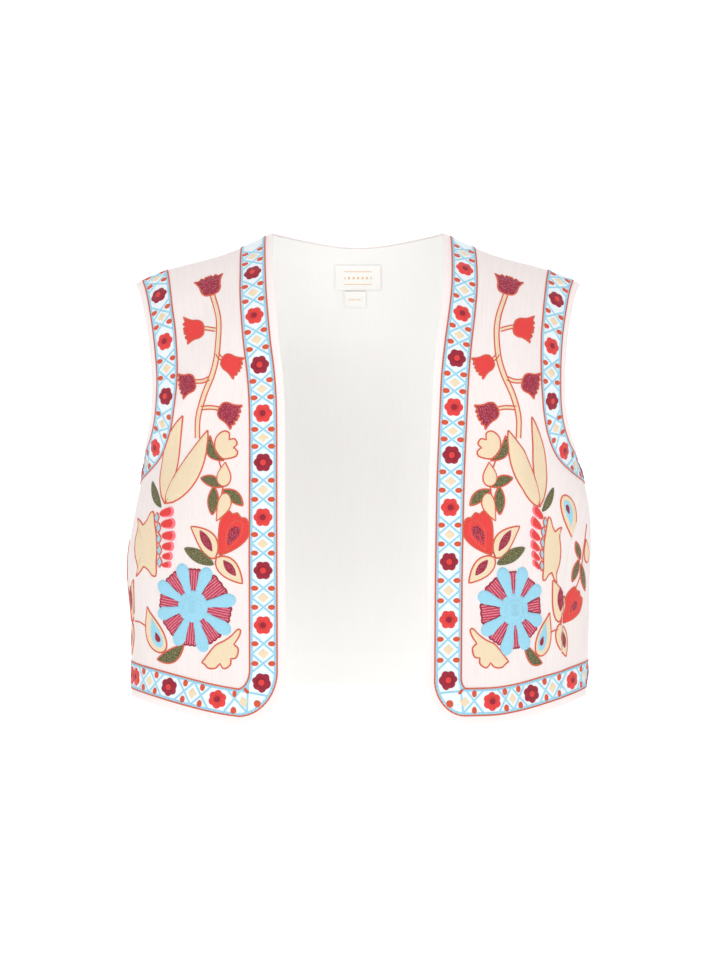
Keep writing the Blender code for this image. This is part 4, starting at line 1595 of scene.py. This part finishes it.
@dataclass
class TapeLabel:
    """A small woven label, sewn flat on the lining of the back neck."""

    name: str
    node: str
    centre: float
    width: float
    top: float
    bottom: float
    finish: WovenLabel
    columns: int = 12
    rows: int = 6
    rim_radius: float = 0.0002

    def build(self) -> bpy.types.Object:
        """Make the label."""
        start = WALL + LINING_WALL + 2 * LAYER_GAP
        bpy.ops.object.select_all(action="DESELECT")
        bpy.ops.mesh.primitive_grid_add(x_subdivisions=self.columns, y_subdivisions=self.rows, size=2)
        piece = bpy.context.object
        piece.name = self.name
        for vertex in piece.data.vertices:
            across = self.centre + self.width / 2 * vertex.co.x
            height = (self.top + self.bottom) / 2 + (self.top - self.bottom) / 2 * vertex.co.y
            side = LEFT if across >= 0 else RIGHT
            angle = FIGURE.angle_at(side, np.asarray(abs(across)), np.asarray(height), False)
            vertex.co = FIGURE.place(side, angle, np.asarray(height), -start - LABEL_WALL)[0]
        piece.data.uv_layers.active.name = "UVMap"
        piece.data.update()
        thicken(piece, LABEL_WALL, self.rim_radius)
        piece.data.materials.append(dyed(self.finish))
        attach(piece, "root")
        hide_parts(self.node)
        LOG.info("%s: %d faces", self.name, len(piece.data.polygons))
        return piece


# Usual distance between two rosettes, and how far a whole one may reach past a border's end (mm)
PITCH = 48.9
OVERHANG = 8


@dataclass
class Border:
    """The embroidered border along one finished edge: rosettes between crossed zigzag lines."""

    name: str
    side: int
    band: Band
    rosettes: list[tuple[float, bool]]
    start: float
    stop: float
    centre_diamond: bool = True
    pitch: float = PITCH
    base: float = 0.3
    rosette_width: float = 17.4
    eye_width: float = 5.6
    line_inset: float = 1.9
    line_steps: int = 40
    brick_half_width: float = 0.78
    blue_half_width: float = 1.1
    leg_half_width: float = 1.05
    leg_reach: float = 17.0
    shortest_leg: float = 0.08
    end_margin: float = 1.0
    diamond_width: float = 9.0
    diamond_half_length: float = 5.2
    bud_place: float = 8.5
    bud_width: float = 4.7
    bud_start: float = -0.8
    bud_end: float = 6.2

    def line(self, sewing: Stitching, inward: float, thread: Thread) -> None:
        """Lay a line that follows the edge from the border's start to its end."""
        places = np.linspace(self.start, self.stop, self.line_steps)
        flat = np.stack([places, np.full(self.line_steps, inward)], axis=1)
        width = self.brick_half_width if thread is Thread.BRICK_LINE else self.blue_half_width
        sewing.cord(flat, self.band.to_cloth, thread, width, 0.8, base=self.base)

    def leg(self, sewing: Stitching, start: tuple[float, float], end: tuple[float, float]) -> None:
        """Lay a straight line across the border, cut off at the border's two ends."""
        shares = [(limit - start[0]) / (end[0] - start[0]) for limit in (self.start, self.stop)]
        low = max(0.0, shares[0])
        high = min(1.0, shares[1])
        if high - low < self.shortest_leg:
            return
        parts = np.array([low, high])
        along = start[0] + (end[0] - start[0]) * parts
        inward = start[1] + (end[1] - start[1]) * parts
        angle, height, _ = self.band.to_cloth(along, inward)
        ends = FIGURE.bare(self.side, angle, height)
        length = float(np.linalg.norm(ends[1] - ends[0])) / MM

        def straight(run: Array, _: Array) -> tuple[Array, Array, Array]:
            """Places between the two ends."""
            share = run / length
            here = angle[0] + (angle[1] - angle[0]) * share
            return here, height[0] + (height[1] - height[0]) * share, np.ones(len(run), bool)

        flat = np.array([(0.0, 0.0), (length, 0.0)])
        sewing.cord(flat, straight, Thread.BLUE_LINE, self.leg_half_width, 0.65, base=self.base)

    def rosette(self, sewing: Stitching, along: float, dark: bool) -> None:
        """Lay one rosette, with its eye."""
        if not self.start - OVERHANG < along < self.stop + OVERHANG:
            return
        middle = (BORDER_OUT + BORDER_IN) / 2
        half = self.rosette_width / 2
        laid = Laid((along, middle - half), (along, middle + half), self.rosette_width)
        thread = Thread.CRIMSON if dark else Thread.CORAL
        sewing.fill(Shape.ROSETTE, laid, self.band.to_cloth, thread, 1.1, self.base)
        eye = self.eye_width / 2
        laid = Laid((along, middle - eye), (along, middle + eye), self.eye_width)
        thread = Thread.CORAL if dark else Thread.CRIMSON
        sewing.fill(Shape.DISC, laid, self.band.to_cloth, thread, 0.5, self.base + 1.0)

    def crossing(self, sewing: Stitching, before: float, after: float) -> None:
        """Lay the zigzags, the diamond and the four buds between two rosettes."""
        middle = (before + after) / 2
        scale = (after - before) / self.pitch
        near = BORDER_OUT + self.line_inset
        far = BORDER_IN - self.line_inset
        reach = self.leg_reach * scale
        for first, second in ((near, far), (far, near)):
            self.leg(sewing, (middle - reach, first), (middle, second))
            self.leg(sewing, (middle, second), (middle + reach, first))
        # A border's very end can fall on a diamond's middle: a margin keeps rounding out of it
        within = self.start + self.end_margin < middle < self.stop - self.end_margin
        if within or (self.centre_diamond and abs(middle - self.stop) < self.end_margin):
            half = (BORDER_IN - BORDER_OUT) / 2
            centre = BORDER_OUT + half
            foot, tip = ((middle, centre + way * self.diamond_half_length) for way in (-1, 1))
            laid = Laid(foot, tip, self.diamond_width * scale)
            sewing.fill(Shape.RHOMBUS, laid, self.band.to_cloth, Thread.CREAM, 0.55, self.base)
        for way in (-1, 1):
            place = middle + way * self.bud_place * scale
            if not self.start + 2 < place < self.stop - 2:
                continue
            for line, inwards in ((near, 1), (far, -1)):
                foot, tip = (line + inwards * end for end in (self.bud_start, self.bud_end))
                laid = Laid((place, foot), (place, tip), self.bud_width)
                sewing.fill(Shape.DISC, laid, self.band.to_cloth, Thread.ORANGE, 0.8, self.base)

    def build(self) -> bpy.types.Object:
        """Sew the border."""
        sewing = Stitching(self.name, self.side)
        for inward, thread in (
            (BORDER_OUT + self.line_inset, Thread.BLUE_LINE),
            (BORDER_IN - self.line_inset, Thread.BLUE_LINE),
            (BORDER_OUT, Thread.BRICK_LINE),
            (BORDER_IN, Thread.BRICK_LINE),
        ):
            self.line(sewing, inward, thread)
        places = [along for along, _ in self.rosettes]
        first = places[0] - self.pitch
        last = places[-1] + self.pitch
        for before, after in zip([first, *places], [*places, last]):
            self.crossing(sewing, before, after)
        for along, dark in self.rosettes:
            self.rosette(sewing, along, dark)
        return sewing.finish()


@dataclass(frozen=True)
class WheelSizes:
    """Sizes of the wheel flower's parts, in millimetres."""

    petal_start: float = 10.0
    petal_width: float = 13.2
    petal_height: float = 1.8
    wedge_start: float = 13.0
    wedge_inset: float = 5.5
    # Width that the petals beside it take from a wedge
    wedge_loss: float = 12.5
    # The eye's two discs: radius, height, and height of what each lies on
    eye: tuple[tuple[float, float, float], ...] = ((15.0, 1.5, 0.2), (9.3, 0.8, 1.6))


WHEEL = WheelSizes()


@dataclass
class Garden:
    """The flowers and leaves on one half of a panel, in millimetres on its chart."""

    label: str
    side: int
    mapper: Mapper

    def sewing(self, name: str) -> Stitching:
        """An empty embroidered piece of this half."""
        return Stitching(f"{name}_{self.label}", self.side)

    def motif(
        self,
        sewing: Stitching,
        shape: Shape,
        foot: tuple[float, float],
        tip: tuple[float, float],
        width: float,
        thread: Thread,
        line: Thread = Thread.BRICK_LINE,
        bend: float = 0.0,
        height: float = 0.6,
    ) -> None:
        """Lay an outlined shape from its foot to its tip."""
        sewing.outlined(shape, Laid(foot, tip, width, bend), self.mapper, thread, line, height)

    def petals(self, sewing: Stitching, rows: Sequence[tuple]) -> None:
        """Lay cream petals, each with a speckled leaf in it."""
        for foot, tip, width, bend, inner_foot, inner_tip, inner_width in rows:
            self.motif(sewing, Shape.LOTUS, foot, tip, width, Thread.CREAM, bend=bend)
            laid = Laid(inner_foot, inner_tip, inner_width)
            sewing.fill(Shape.LEAF, laid, self.mapper, Thread.SPECKLED, 0.5, 0.6)

    def nested_drops(self, sewing: Stitching, outer: Laid, inner: Laid, core: Laid) -> None:
        """Lay a cream drop, a blue one in it, and a crimson one in that."""
        sewing.outlined(Shape.DROP, outer, self.mapper, Thread.CREAM, Thread.BRICK_LINE)
        sewing.fill(Shape.DROP, inner, self.mapper, Thread.BLUE, 0.5, 0.6)
        sewing.fill(Shape.DROP, core, self.mapper, Thread.CRIMSON, 0.5, 1.0)

    def tulips(self) -> bpy.types.Object:
        """The curved stem with its five tulips."""
        sewing = self.sewing("tulip_stem")
        stem = curve_through(
            [(63.1, -62.0), (56.4, -87.2), (58.7, -115.8), (65.0, -137.0), (75.6, -158.0), (82.4, -177.6),
             (83.6, -196.5)],
            8,
        )
        stalks = (
            ((60.0, -97.0), (66.0, -95.5), (73.0, -94.2)),
            ((59.0, -119.5), (57.5, -122.5), (54.5, -125.0)),
            ((69.0, -142.0), (76.0, -144.5), (84.0, -144.6)),
            ((79.0, -169.0), (69.0, -168.5), (60.0, -170.0)),
        )
        for places in stalks:
            sewing.stalk(curve_through(places, 6), 3.2, self.mapper, Thread.BRICK_LINE)
        sewing.stalk(stem, 4.6, self.mapper, Thread.BRICK_LINE)
        blooms = (
            ((63.1, -62.5), (68.3, -44.5), 30.0, Thread.SPECKLED),
            ((72.5, -94.2), (94.0, -96.6), 26.0, Thread.CORAL),
            ((54.5, -124.6), (38.6, -134.4), 23.0, Thread.CORAL),
            ((84.0, -144.3), (102.0, -149.2), 25.0, Thread.SPECKLED),
            ((61.0, -169.2), (42.8, -178.8), 25.0, Thread.SPECKLED),
        )
        for foot, tip, width, thread in blooms:
            self.motif(sewing, Shape.TULIP, foot, tip, width, thread)
        return sewing.finish()

    def lotus(self) -> bpy.types.Object:
        """The pair of long cream leaves, and a slim olive one beside them."""
        sewing = self.sewing("long_leaves")
        olive = (Thread.OLIVE, Thread.OLIVE_LINE)
        self.motif(sewing, Shape.LOTUS, (118.6, -256.5), (98.3, -175.6), 22.5, Thread.CREAM, bend=-8.0)
        self.motif(
            sewing, Shape.LOTUS, (118.0, -256.0), (72.6, -189.2), 23.0, Thread.CREAM, bend=5.0, height=0.9
        )
        self.motif(sewing, Shape.LEAF, (141.5, -235.8), (123.3, -259.5), 8.0, *olive, bend=1.5)
        return sewing.finish()

    def bud_spray(self) -> bpy.types.Object:
        """The lobed bud with its sepals, drop and small leaves."""
        sewing = self.sewing("bud_spray")
        stalk = curve_through([(62.7, -214.0), (58.5, -228.0), (57.6, -240.0), (60.5, -262.0)], 6)
        sewing.cord(stalk, self.mapper, Thread.BRICK_LINE, 0.9, 0.7)
        self.motif(sewing, Shape.BUD, (60.8, -213.5), (49.5, -192.0), 27.0, Thread.CREAM)
        self.motif(sewing, Shape.LEAF, (56.5, -217.0), (70.5, -194.2), 9.0, Thread.OLIVE, bend=-6.5)
        self.motif(sewing, Shape.DROP, (57.4, -240.4), (55.6, -218.6), 13.0, Thread.CREAM, height=0.9)
        self.motif(sewing, Shape.LEAF, (58.6, -241.0), (79.4, -233.0), 9.5, Thread.OLIVE, bend=1.5)
        self.motif(sewing, Shape.LEAF, (66.0, -240.5), (67.5, -266.5), 10.0, Thread.OLIVE)
        self.motif(sewing, Shape.LEAF, (57.4, -243.6), (38.6, -258.0), 10.0, Thread.OLIVE, bend=-1.5)
        self.motif(
            sewing, Shape.DROP, (53.6, -246.5), (63.5, -272.0), 12.0, Thread.CREAM, bend=-1.5, height=0.9
        )
        return sewing.finish()

    def pomegranate(self) -> bpy.types.Object:
        """The open pomegranate with two petals and a leaf under it."""
        sewing = self.sewing("pomegranate")
        self.motif(sewing, Shape.POMEGRANATE, (60.4, -303.0), (43.8, -264.5), 29.0, Thread.CORAL, bend=3.5)
        self.motif(sewing, Shape.DROP, (41.6, -272.2), (54.2, -299.0), 13.5, Thread.SPECKLED)
        petals = (
            ((64.4, -306.0), (88.2, -277.2), 17.5, 4.0, (66.9, -299.8), (79.2, -280.2), 8.0),
            ((63.2, -305.4), (39.0, -328.6), 17.0, -1.0, (56.6, -307.4), (44.8, -321.8), 7.6),
        )
        self.petals(sewing, petals)
        self.motif(sewing, Shape.LEAF, (66.0, -311.5), (94.0, -297.0), 10.5, Thread.OLIVE, Thread.OLIVE_LINE)
        return sewing.finish()

    def wheel(self, centre: tuple[float, float], petals: Petals) -> bpy.types.Object:
        """The wheel flower: eight thick petals with mesh wedges between, round a plump eye.

        Args:
            centre: its middle, on the chart.
            petals: turn from straight up and length of each petal, in order round the wheel.

        Returns:
            The piece.
        """
        sewing = self.sewing("wheel_flower")
        after = petals[1:] + ((petals[0][0] + 360, petals[0][1]),)
        for (turn, length), (next_turn, next_length) in zip(petals, after):
            spread = math.radians(next_turn - turn)
            reach = (length + next_length) / 2 - WHEEL.wedge_inset
            width = 2 * reach * math.sin(spread / 2) - WHEEL.wedge_loss
            between = (turn + next_turn) / 2
            foot, tip = (self.spoke(centre, between, radius) for radius in (WHEEL.wedge_start, reach))
            laid = Laid(foot, tip, width)
            sewing.outlined(Shape.WEDGE, laid, self.mapper, Thread.MESH, Thread.CRIMSON_LINE)
        for turn, length in petals:
            foot, tip = (self.spoke(centre, turn, radius) for radius in (WHEEL.petal_start, length))
            laid = Laid(foot, tip, WHEEL.petal_width)
            sewing.fill(Shape.PETAL, laid, self.mapper, Thread.BLUE, WHEEL.petal_height)
        for radius, height, base in WHEEL.eye:
            laid = Laid((centre[0], centre[1] - radius), (centre[0], centre[1] + radius), 2 * radius)
            sewing.fill(Shape.DISC, laid, self.mapper, Thread.BLUE, height, base)
        return sewing.finish()

    @staticmethod
    def spoke(centre: tuple[float, float], turn: float, radius: float) -> tuple[float, float]:
        """Place at a radius from the centre, turned by degrees from straight up towards the side."""
        angle = math.radians(turn)
        return centre[0] + radius * math.sin(angle), centre[1] + radius * math.cos(angle)

    def cup_flower(self, foot: float = 161.5, lean: float = 0.0) -> bpy.types.Object:
        """The flower on its side: a cream cup, a row of blue diamonds and six plump fingers.

        Args:
            foot: how far from the front edge the cup's foot lies.
            lean: millimetres by which the tip of each finger is raised.

        Returns:
            The piece.
        """
        sewing = self.sewing("cup_flower")
        self.motif(sewing, Shape.CUP, (foot, -297.5), (124.0, -292.5), 60.0, Thread.CREAM)
        fingers = (
            ((124.0, -266.0), (107.0, -262.8), 9.6),
            ((121.5, -275.4), (104.6, -274.0), 10.0),
            ((119.5, -285.8), (103.8, -285.6), 9.6),
            ((118.5, -295.6), (105.1, -295.4), 8.8),
            ((118.0, -304.8), (106.2, -304.3), 7.6),
            ((118.0, -313.0), (107.6, -311.8), 6.4),
        )
        for base, end, width in fingers:
            tip = (end[0], end[1] + lean)
            sewing.fill(Shape.FINGER, Laid(base, tip, width), self.mapper, Thread.PINK, 1.3)
            inner = Laid(base, (tip[0] + 2.2, tip[1] - lean * 0.13), width * 0.78)
            sewing.fill(Shape.FINGER, inner, self.mapper, Thread.CORAL, 0.5, 1.1)
        diamonds = ((128.0, -269.2), (125.0, -278.5), (123.5, -288.6), (122.2, -299.1), (121.3, -310.0))
        for reach, height in diamonds:
            self.motif(sewing, Shape.RHOMBUS, (reach, height - 5.0), (reach, height + 5.0), 6.2, Thread.BLUE)
        return sewing.finish()

    def paisley(self) -> bpy.types.Object:
        """The curved drop and the leaf under it."""
        sewing = self.sewing("paisley")
        stalk = curve_through([(136.0, -370.5), (148.0, -366.5), (162.0, -365.9)], 6)
        sewing.cord(stalk, self.mapper, Thread.BRICK_LINE, 0.9, 0.7)
        outer = Laid((117.0, -392.5), (136.3, -351.5), 20.5, -3.0)
        inner = Laid((119.6, -388.5), (130.0, -361.0), 11.5, -1.5)
        core = Laid((120.8, -383.5), (125.4, -374.0), 5.5, -0.5)
        self.nested_drops(sewing, outer, inner, core)
        self.motif(sewing, Shape.LEAF, (124.5, -399.5), (95.4, -385.0), 12.0, Thread.OLIVE, bend=4.0)
        return sewing.finish()

    def half_flower(self) -> bpy.types.Object:
        """The scalloped half flower below the wheel."""
        sewing = self.sewing("half_flower")
        self.motif(sewing, Shape.HALF_FLOWER, (77.6, -401.0), (42.5, -369.5), 27.0, Thread.CREAM)
        return sewing.finish()

    def side_spray(self, drop: bool = False) -> bpy.types.Object:
        """The smaller pomegranate with leaves and petals, which crosses the side seam.

        Args:
            drop: sew the hanging drop above it too.

        Returns:
            The piece.
        """
        sewing = self.sewing("side_spray")
        if drop:
            outer = Laid((139.0, -249.0), (151.0, -291.0), 19.0, 3.0)
            inner = Laid((140.5, -253.5), (148.8, -278.0), 10.0, 1.5)
            core = Laid((141.5, -257.5), (145.5, -267.0), 4.6)
            self.nested_drops(sewing, outer, inner, core)
        stalk = curve_through([(175.0, -276.0), (168.0, -300.0), (163.0, -324.0), (150.0, -344.0)], 6)
        sewing.cord(stalk, self.mapper, Thread.BRICK_LINE, 0.8, 0.7)
        for foot, tip, width in (
            ((162.5, -309.0), (155.5, -292.0), 7.5),
            ((160.5, -309.0), (150.5, -329.5), 8.0),
            ((163.5, -313.0), (172.5, -338.5), 8.0),
        ):
            self.motif(sewing, Shape.LEAF, foot, tip, width, Thread.OLIVE)
        self.motif(sewing, Shape.DROP, (176.0, -312.0), (173.0, -290.0), 11.0, Thread.CREAM)
        self.motif(sewing, Shape.POMEGRANATE, (135.2, -367.5), (162.0, -338.5), 25.0, Thread.CORAL, bend=-1.0)
        self.motif(sewing, Shape.DROP, (158.5, -346.5), (145.5, -360.5), 9.5, Thread.SPECKLED)
        petals = (
            ((133.2, -366.5), (125.3, -327.3), 16.0, -4.0, (135.0, -357.0), (134.6, -333.5), 7.6),
            ((134.2, -368.0), (143.1, -398.6), 14.0, -1.0, (137.2, -374.5), (141.0, -391.0), 6.0),
        )
        self.petals(sewing, petals)
        return sewing.finish()

    def centre_spray(self) -> bpy.types.Object:
        """A pair of leaves and a drop beside the centre of the back."""
        sewing = self.sewing("centre_spray")
        stalk = curve_through([(10.0, -300.0), (20.0, -318.0), (24.0, -342.0), (14.0, -372.0)], 6)
        sewing.cord(stalk, self.mapper, Thread.BRICK_LINE, 0.8, 0.7)
        self.motif(sewing, Shape.TULIP, (10.0, -300.0), (4.5, -282.0), 22.0, Thread.CORAL)
        self.motif(sewing, Shape.LEAF, (21.0, -320.0), (40.0, -306.0), 9.0, Thread.OLIVE)
        self.motif(sewing, Shape.LEAF, (23.5, -336.0), (6.0, -346.0), 8.5, Thread.OLIVE)
        self.motif(sewing, Shape.DROP, (15.0, -390.0), (13.5, -366.0), 14.0, Thread.CREAM)
        return sewing.finish()


def side_borders(side: int) -> list[bpy.types.Object]:
    """Every embroidered border on one side of the garment."""
    label = "right" if side == RIGHT else "left"
    chart = Chart(side)
    top_angle, top_height = FIGURE.shoulder(side, np.array([0.0, 0.5, 1.0]), True)
    top = FIGURE.bare(side, top_angle, top_height)
    seam_way = unit(top[2] - top[0])
    seam_levels = np.array([BACK_HEM, BACK_HEM + 0.030])
    seam_line = FIGURE.bare(side, sided(side, SIDE_SEAM, "angle", seam_levels), seam_levels)
    up_seam = unit(seam_line[1] - seam_line[0])

    front = Band(side, front_line(side), (45.0, -0.25), seam_way, up_seam)
    known = []
    mapper = chart.mapper(False, False)
    for reach, height, dark in FRONT_ROSETTES[side]:
        angle, level, _ = mapper(np.array([reach]), np.array([height]))
        known.append((front.nearest(float(angle[0]), float(level[0])), dark))
    pieces = [Border(f"front_border_{label}", side, front, known, 0.0, front.length).build()]

    hole = Band(side, armhole_line(), (60.0, -0.26), -seam_way, -seam_way)
    spots = []
    for reach, height in ARMHOLE_ROSETTES[side]:
        angle, level, _ = mapper(np.array([reach]), np.array([height]))
        spots.append(hole.nearest(float(angle[0]), float(level[0])))
    pitch = (spots[1] - spots[0]) / 2
    count = int((hole.length + OVERHANG - spots[0]) / pitch) + 1
    places = [(spots[0] + pitch * index, index % 2 == 0) for index in range(count)]
    border = Border(f"armhole_border_{label}", side, hole, places, 0.0, hole.length, pitch=pitch)
    pieces.append(border.build())

    hem = Band(side, back_hem_line(side), (150.0, -0.30), up_seam, np.array([0.0, 0.0, 1.0]))
    centre = hem.nearest(180.0, BACK_HEM + 0.021)
    count = int((centre + OVERHANG - PITCH / 2) / PITCH) + 1
    places = [(centre - PITCH / 2 - PITCH * index, index % 2 == 1) for index in range(count)][::-1]
    border = Border(f"back_hem_border_{label}", side, hem, places, 0.0, centre, side == RIGHT)
    pieces.append(border.build())

    neck = Band(side, back_neck_line(side), (180.0, -0.12), seam_way, np.array([0.0, 0.0, -1.0]))
    centre = neck.nearest(180.0, -0.029)
    pitch = centre / 2
    places = [(centre - pitch * 1.5, True), (centre - pitch / 2, False)]
    border = Border(f"back_neck_border_{label}", side, neck, places, 0.0, centre, side == RIGHT, pitch=pitch)
    pieces.append(border.build())
    return pieces


# Rosettes of the front borders: distance from the edge and height (mm), and whether it is dark
FRONT_ROSETTES = {
    RIGHT: (
        (22.4, -43.6, True), (20.3, -84.7, False), (19.1, -129.2, True), (19.0, -174.4, False),
        (18.4, -219.3, True), (19.2, -268.7, False), (18.5, -317.2, True), (20.0, -366.3, False),
        (23.3, -417.6, True), (62.2, -433.1, False), (109.9, -422.5, True), (157.6, -413.1, False),
    ),
    LEFT: (
        (23.7, -39.9, False), (20.4, -81.8, False), (21.3, -124.2, True), (20.3, -168.4, False),
        (21.3, -212.0, True), (20.0, -260.1, False), (18.9, -309.7, True), (18.9, -362.0, False),
        (20.7, -416.6, True), (61.2, -435.7, False), (101.5, -427.8, True),
    ),
}
# The first and the third rosette of the armhole borders
ARMHOLE_ROSETTES = {
    RIGHT: ((118.0, -60.5), (117.8, -157.3)),
    LEFT: ((116.2, -65.0), (116.4, -162.9)),
}
# The wearer's left front is narrower, and its outer flowers are drawn in towards the wheel
OUTER_SQUEEZE = {RIGHT: (1.0, 0.0), LEFT: (0.70, 0.12)}
SPRAY_SHIFT = 36.0
WHEEL_CENTRE = {RIGHT: (86.2, -350.1), LEFT: (82.9, -353.3)}
BACK_WHEEL_CENTRE = (88.0, -350.0)
# Turn in degrees from straight up towards the side, and length in mm: sewn by eye, so uneven
WHEEL_PETALS = {
    RIGHT: ((17, 41), (60, 42), (103, 38), (155, 40), (195, 43), (237, 43), (280, 42), (336, 39)),
    LEFT: ((14, 40), (54, 35), (113, 33), (160, 40), (192, 43), (235, 38), (292, 38), (341, 41)),
}

OUTER_COTTON = WovenCotton("plain_weave_cotton", "#f0e7e5", "#ebe1df", "#f5ebe9", "#e9f1f5")
LINING_COTTON = WovenCotton(
    "white_cotton_lining", "#faf9f7", "#f8f6f4", "#faf9f7", "#faf9f7",
    thread_gap=0.0006, weave_depth=0.00003, slub_depth=0.00004,
)


def front_motifs(side: int) -> list[bpy.types.Object]:
    """The flowers and leaves of one front."""
    label = "front_right" if side == RIGHT else "front_left"
    chart = Chart(side)
    garden = Garden(label, side, chart.mapper(False, False))
    pieces = [garden.tulips(), garden.bud_spray(), garden.pomegranate()]
    pieces.append(garden.wheel(WHEEL_CENTRE[side], WHEEL_PETALS[side]))
    outer = Garden(label, side, chart.mapper(False, False, (0.0, 0.0), OUTER_SQUEEZE[side]))
    cup = outer.cup_flower() if side == RIGHT else outer.cup_flower(154.0, 5.0)
    pieces += [outer.lotus(), cup, outer.paisley()]
    pieces.append(garden.half_flower())
    across = 0.0 if side == LEFT else SPRAY_SHIFT
    beside = Garden(label, side, chart.mapper(False, False, (across, 0.0)))
    pieces.append(beside.side_spray(drop=side == LEFT))
    return pieces


def back_motifs(side: int) -> list[bpy.types.Object]:
    """The flowers and leaves of one half of the back."""
    label = "back_right" if side == RIGHT else "back_left"
    chart = Chart(side)
    garden = Garden(label, side, chart.mapper(True, True, (14.0, 6.0)))
    pieces = [garden.tulips(), garden.lotus(), garden.bud_spray(), garden.pomegranate()]
    pieces.append(garden.wheel(BACK_WHEEL_CENTRE, WHEEL_PETALS[RIGHT]))
    pieces += [garden.cup_flower(), garden.paisley(), garden.half_flower()]
    across = 0.0 if side == LEFT else SPRAY_SHIFT
    beside = Garden(label, side, chart.mapper(False, True, (across, 0.0)))
    pieces.append(beside.side_spray())
    middle = Garden(label, side, chart.mapper(True, True))
    pieces.append(middle.centre_spray())
    return pieces


@dataclass
class Studio:
    """Pale floor and wall, soft light and the camera."""

    floor: float = -0.62
    reach: float = 6.0
    wall_distance: float = 2.6
    wall_height: float = 4.0
    curve: float = 0.8
    # Shares of the backdrop's rows on the floor, and on the floor and the curve
    floor_share: float = 0.4
    curve_share: float = 0.75
    aim: tuple[float, float, float] = (0.0, 0.0, -0.23)
    ambient: float = 0.58
    lights: tuple[tuple[str, tuple[float, float, float], float, float], ...] = (
        ("key_light", (-1.1, -2.8, 1.1), 1.6, 20.5),
        ("fill_light", (1.4, -2.8, 0.3), 2.2, 16.0),
        ("top_light", (0.0, -0.2, 2.2), 1.6, 10.0),
    )
    camera_place: tuple[float, float, float] = (0.0019, -2.4, -0.2347)
    lens: float = 94.74
    sensor_width: float = 36.0

    def backdrop(self) -> None:
        """A pale floor that curves up to a wall."""
        made, _, shader = new_material("matt_white_backdrop")
        shader.inputs["Base Color"].default_value = linear("#fbfbfb")
        shader.inputs["Roughness"].default_value = 0.95
        shader.inputs["Specular IOR Level"].default_value = 0.0
        shader.inputs["Emission Color"].default_value = linear("#ffffff")
        shader.inputs["Emission Strength"].default_value = 0.35
        bpy.ops.object.select_all(action="DESELECT")
        bpy.ops.mesh.primitive_grid_add(x_subdivisions=2, y_subdivisions=24, size=2)
        piece = bpy.context.object
        piece.name = "backdrop"
        flat_end = self.wall_distance - self.curve
        for vertex in piece.data.vertices:
            part = (vertex.co.y + 1) / 2
            if part < self.floor_share:
                depth = -self.reach + (flat_end + self.reach) * part / self.floor_share
                height = self.floor
            elif part < self.curve_share:
                turn = (part - self.floor_share) / (self.curve_share - self.floor_share) * math.pi / 2
                depth = flat_end + self.curve * math.sin(turn)
                height = self.floor + self.curve * (1 - math.cos(turn))
            else:
                depth = self.wall_distance
                up = (part - self.curve_share) / (1 - self.curve_share)
                height = self.floor + self.curve + up * self.wall_height
            vertex.co = (vertex.co.x * self.reach, depth, height)
        piece.data.update()
        bpy.ops.object.shade_smooth()
        piece.data.materials.append(made)

    def light(self, name: str, place: tuple[float, float, float], size: float, power: float) -> None:
        """A large soft light that looks at the garment."""
        bpy.ops.object.light_add(type="AREA", location=place)
        lamp = bpy.context.object
        lamp.name = name
        lamp.data.shape = "DISK"
        lamp.data.size = size
        lamp.data.energy = power
        way = np.array(self.aim) - np.array(place)
        flat = math.hypot(way[0], way[1])
        lamp.rotation_euler = (math.atan2(flat, -way[2]), 0.0, math.atan2(-way[0], way[1]))

    def surroundings(self) -> None:
        """Even white light from all round."""
        world = bpy.data.worlds.new("even_light")
        bpy.context.scene.world = world
        world.use_nodes = True
        ground = world.node_tree.nodes["Background"]
        ground.inputs["Color"].default_value = (1.0, 1.0, 1.0, 1.0)
        seen = add_node(world.node_tree, "ShaderNodeLightPath", {}, {}).outputs["Is Camera Ray"]
        level = {"To Min": self.ambient, "To Max": 1.0}
        shown = add_node(world.node_tree, "ShaderNodeMapRange", level, {"Value": seen}).outputs[0]
        world.node_tree.links.new(shown, ground.inputs["Strength"])

    def camera(self) -> None:
        """The camera, level and straight on from the front."""
        bpy.ops.object.camera_add(location=self.camera_place, rotation=(math.pi / 2, 0.0, 0.0))
        view = bpy.context.object
        view.name = "camera"
        view.data.lens = self.lens
        view.data.sensor_width = self.sensor_width
        bpy.context.scene.camera = view

    def build(self) -> None:
        """Set up the stage."""
        self.backdrop()
        self.surroundings()
        for name, place, size, power in self.lights:
            self.light(name, place, size, power)
        self.camera()
        bpy.context.scene.view_settings.view_transform = "Standard"


def main() -> None:
    """Build the waistcoat's looks, piece by piece."""
    logging.basicConfig(level=logging.INFO, format="%(message)s")
    for side, label, area in ((RIGHT, "right", 0.072), (LEFT, "left", 0.068)):
        front = FrontCloth(
            f"front_{label}_cloth", f"front_{label}", "cloth", OUTER_COTTON, LINING_COTTON, (0.20, 0.46),
            area, side=side,
        )
        front.build()
    back = BackCloth("back_cloth", "back", "cloth", OUTER_COTTON, OUTER_COTTON, (0.64, 0.45), 0.248)
    back_piece = back.build()
    lining = BackCloth(
        "back_lining_cloth", "back_lining", "lining", LINING_COTTON, LINING_COTTON, (0.63, 0.45), 0.244,
        start=WALL + LAYER_GAP, thickness=LINING_WALL, relief=False,
    )
    lining_piece = lining.build()
    on_back = []
    for side in (RIGHT, LEFT):
        borders = side_borders(side)
        borders[:2] + front_motifs(side)
        on_back += borders[2:] + back_motifs(side)
    tape = WovenLabel("satin_woven_label")
    TapeLabel("neck_label_tape", "neck_label", 0.0, 0.046, -0.022, -0.045, tape).build()
    plain = WovenLabel("plain_woven_tape", framed=False)
    TapeLabel("size_tab_tape", "size_tab", -0.003, 0.022, -0.0465, -0.062, plain).build()
    Studio().build()


if __name__ == "__main__":
    main()
